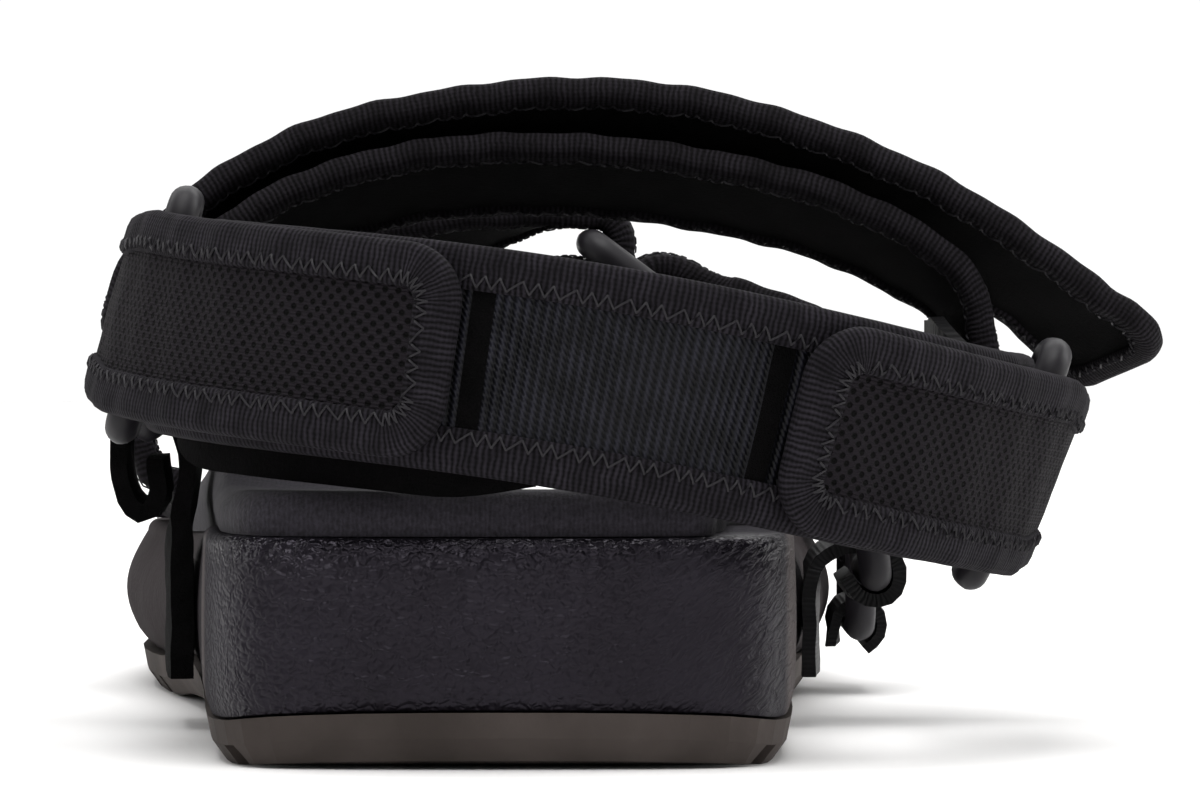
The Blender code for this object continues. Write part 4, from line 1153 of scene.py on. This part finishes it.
def build_anchors():
    """Velvet strap on the inner wall, and webbing on the outer wall and beside the ball."""
    y = INNER_Y
    bar = (-inner_ring_out(), INNER_RING_HIGH - RING_GAP - RING_TUBE)
    radius = RING_TUBE / 2 + CLEAR + VELVET_THICK / 2
    wall = -(side_wall(y, -1, WALL_LEVEL) + 0.0007 + VELVET_THICK / 2)
    along = wall_across(y, -1, WEB_WIDTH / 2)
    places = [(Vector((wall, y, high)), along) for high in (ANCHOR_LOW, 0.013, 0.020, 0.0255)]
    for inward, high in ((0.0007, 0.0292), (0.0014, 0.0330), (0.0013, 0.0366)):
        places.append(flat_place(wall + inward, y, high))
    places += wrap(bar, 14, 180, radius, 6, y)
    for inward, high in LOOP_END:
        places.append(flat_place(bar[0] - radius + inward * VELVET_THICK, y,
                                 FREE_END_HIGH + high * VELVET_THICK))
    # The brushed pile stands off the closed loop and fills it
    plain_strap("side_anchor_inner_velvet", "side_anchor_inner", places, WEB_WIDTH, VELVET_THICK + 0.0008,
                ((*bar, VELVET_THICK),), VELVET_LOOP)

    y = INSTEP_Y
    bar = ring_bars(outer_ring_out(), OUTER_RING_HIGH, OUTER_RING_LEAN)[1]
    radius = RING_TUBE / 2 + CLEAR + WEB_THICK / 2
    wall = side_wall(y, 1, WALL_LEVEL) + 0.0006 + WEB_THICK / 2
    along = wall_across(y, 1, WEB_WIDTH / 2)
    places = [(Vector((wall, y, high)), along) for high in (ANCHOR_LOW, 0.012, 0.0175)]
    places.append(flat_place(wall + 0.0006, y, bar[1] + radius * 0.45))
    places.append(flat_place(wall + 0.0030, y, bar[1] + radius * 0.98))
    places += wrap(bar, 96, -128, radius, 7, y)
    places.append(flat_place(bar[0] - radius * 1.12, y, bar[1] - radius * 0.12))
    plain_strap("side_anchor_outer_web", "side_anchor_outer", places, WEB_WIDTH, WEB_THICK, (bar,),
                WEBBING_FINE)

    y = FORE_Y
    bar = ring_bars(fore_ring_out(), FORE_RING_HIGH, 0.0)[1]
    radius = RING_TUBE / 2 + CLEAR + FORE_WEB_THICK / 2
    places = [(Vector((bar[0] - radius, y, ANCHOR_LOW)), wall_across(y, 1, WEB_WIDTH / 2))]
    places += wrap(bar, 180, 0, radius, 7, y)
    places.append(flat_place(bar[0] + radius * 0.86, y, ANCHOR_LOW + 0.0012))
    places.append(flat_place(bar[0] + radius * 0.30, y, ANCHOR_LOW - 0.0006))
    plain_strap("forefoot_anchor_web", "forefoot_anchor_outer", places, WEB_WIDTH * 0.9, FORE_WEB_THICK,
                (bar,), WEBBING_FINE)


def build_links():
    """Short straps from the front bars of the heel loops to the inside of the instep strap."""
    pitch = RING_GAP + RING_TUBE
    radius = RING_TUBE / 2 + CLEAR + WEB_THICK / 2
    inner_x = fold_radius() + LINK_INSIDE - inner_ring_out()
    outer_x = 0.612 * INSTEP_SPAN - STRAP_THICK / 2 - CLEAR - WEB_THICK / 2 - LINK_SLACK
    rows = (("inner", 0.0, -1, inner_x, 0.695 * INSTEP_HEIGHT, math.radians(20)),
            ("outer", math.pi, 1, outer_x, 0.643 * INSTEP_HEIGHT, math.radians(-3)))
    for name, theta, sign, end_x, end_z, end_lean in rows:
        middle, across = heel_curve(theta)
        bar = middle + ALONG * pitch
        side = Vector((sign * across.z, 0.0, -sign * across.x))
        places = [(bar + side * radius * 1.05 + ALONG * 0.006, across)]
        for i in range(7):
            angle = math.pi * i / 6
            places.append((bar + (side * math.cos(angle) - ALONG * math.sin(angle)) * radius, across))
        end = tilt_vector(end_lean)
        for reach in (-0.018, -0.004, 0.006):
            places.append((Vector((end_x, INSTEP_Y + reach, end_z)), end))
        plain_strap("link_" + name + "_web", "link_strap_" + name, places, LINK_WIDTH, WEB_THICK, (),
                    WEBBING_FINE, 8)


# Floor, light and camera

def build_floor():
    """Wide pale paper floor that ends a little beyond the toe, so nothing hides the shoe from any side."""
    bm = bmesh.new()
    bmesh.ops.create_grid(bm, x_segments=1, y_segments=1, size=5.0)
    bmesh.ops.translate(bm, verts=bm.verts, vec=(0.0, -3.2, 0.0))
    mesh = bpy.data.meshes.new("studio_floor")
    bm.to_mesh(mesh)
    bm.free()
    made, _ = new_material("matt_paper")
    mesh.materials.append(surface(made, {"Base Color": linear("f6f5f4"), "Roughness": 0.9}, {}))
    new_object("studio_floor", mesh)


def area_light(name, place, target, size, power):
    """Soft area light aimed at a point."""
    data = bpy.data.lights.new(name, "AREA")
    data.shape = "RECTANGLE"
    data.size = size[0]
    data.size_y = size[1]
    data.energy = power
    light = new_object(name, data)
    light.location = place
    light.rotation_euler = (Vector(target) - Vector(place)).to_track_quat("-Z", "Y").to_euler()
    light.visible_camera = False


def build_lights():
    """Dim white surround, bright far beyond the toe, with soft lights above, in front and at the sides."""
    world = bpy.data.worlds.new("studio")
    world.use_nodes = True
    tree = world.node_tree
    ahead = add_node(tree, "SeparateXYZ", {}, {0: add_node(tree, "TexCoord", {})})
    power = add_node(tree, "MapRange", {"From Min": 0.9, "From Max": 0.975, "To Min": 0.26, "To Max": 1.04},
                     {"Value": ahead.outputs["Y"]})
    shade = tree.nodes["Background"]
    shade.inputs["Color"].default_value = (1.0, 1.0, 1.0, 1.0)
    tree.links.new(power.outputs[0], shade.inputs["Strength"])
    bpy.context.scene.world = world
    bpy.context.scene.view_settings.view_transform = "Standard"
    area_light("overhead", (0.0, -0.25, 1.2), (0.0, 0.0, 0.0), (1.1, 1.1), 18.0)
    area_light("front_strip", (0.02, -1.1, 0.46), (0.0, -0.034, 0.03), (0.42, 0.09), 1.0)
    area_light("far_floor", (0.0, 1.25, 1.1), (0.0, 1.25, 0.0), (3.0, 1.0), 24.0)
    area_light("side_left", (-1.1, 0.35, 0.45), (0.0, 0.05, 0.04), (0.7, 0.8), 2.5)
    area_light("side_right", (1.1, 0.3, 0.5), (0.0, 0.05, 0.04), (0.7, 0.8), 6.5)


def build_camera():
    """Low view from behind the heel, slightly turned."""
    data = bpy.data.cameras.new("camera")
    data.sensor_width = 36.0
    data.lens = 246.0
    camera = new_object("camera", data)
    camera.location = (0.0, -REST_FROM_BACK - 1.0, 0.0699)
    camera.rotation_euler = Vector((0.0122, 1.0, -0.0245)).to_track_quat("-Z", "Y").to_euler()
    bpy.context.scene.camera = camera


build_midsole()
build_footbed()
build_heel_strap()
build_heel_lining()
build_instep_strap()
build_forefoot_straps()
build_anchors()
build_links()
build_loops()
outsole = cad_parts["outsole"]
for place in outsole.material_slots:
    place.material = BASE
build_floor()
build_lights()
build_camera()
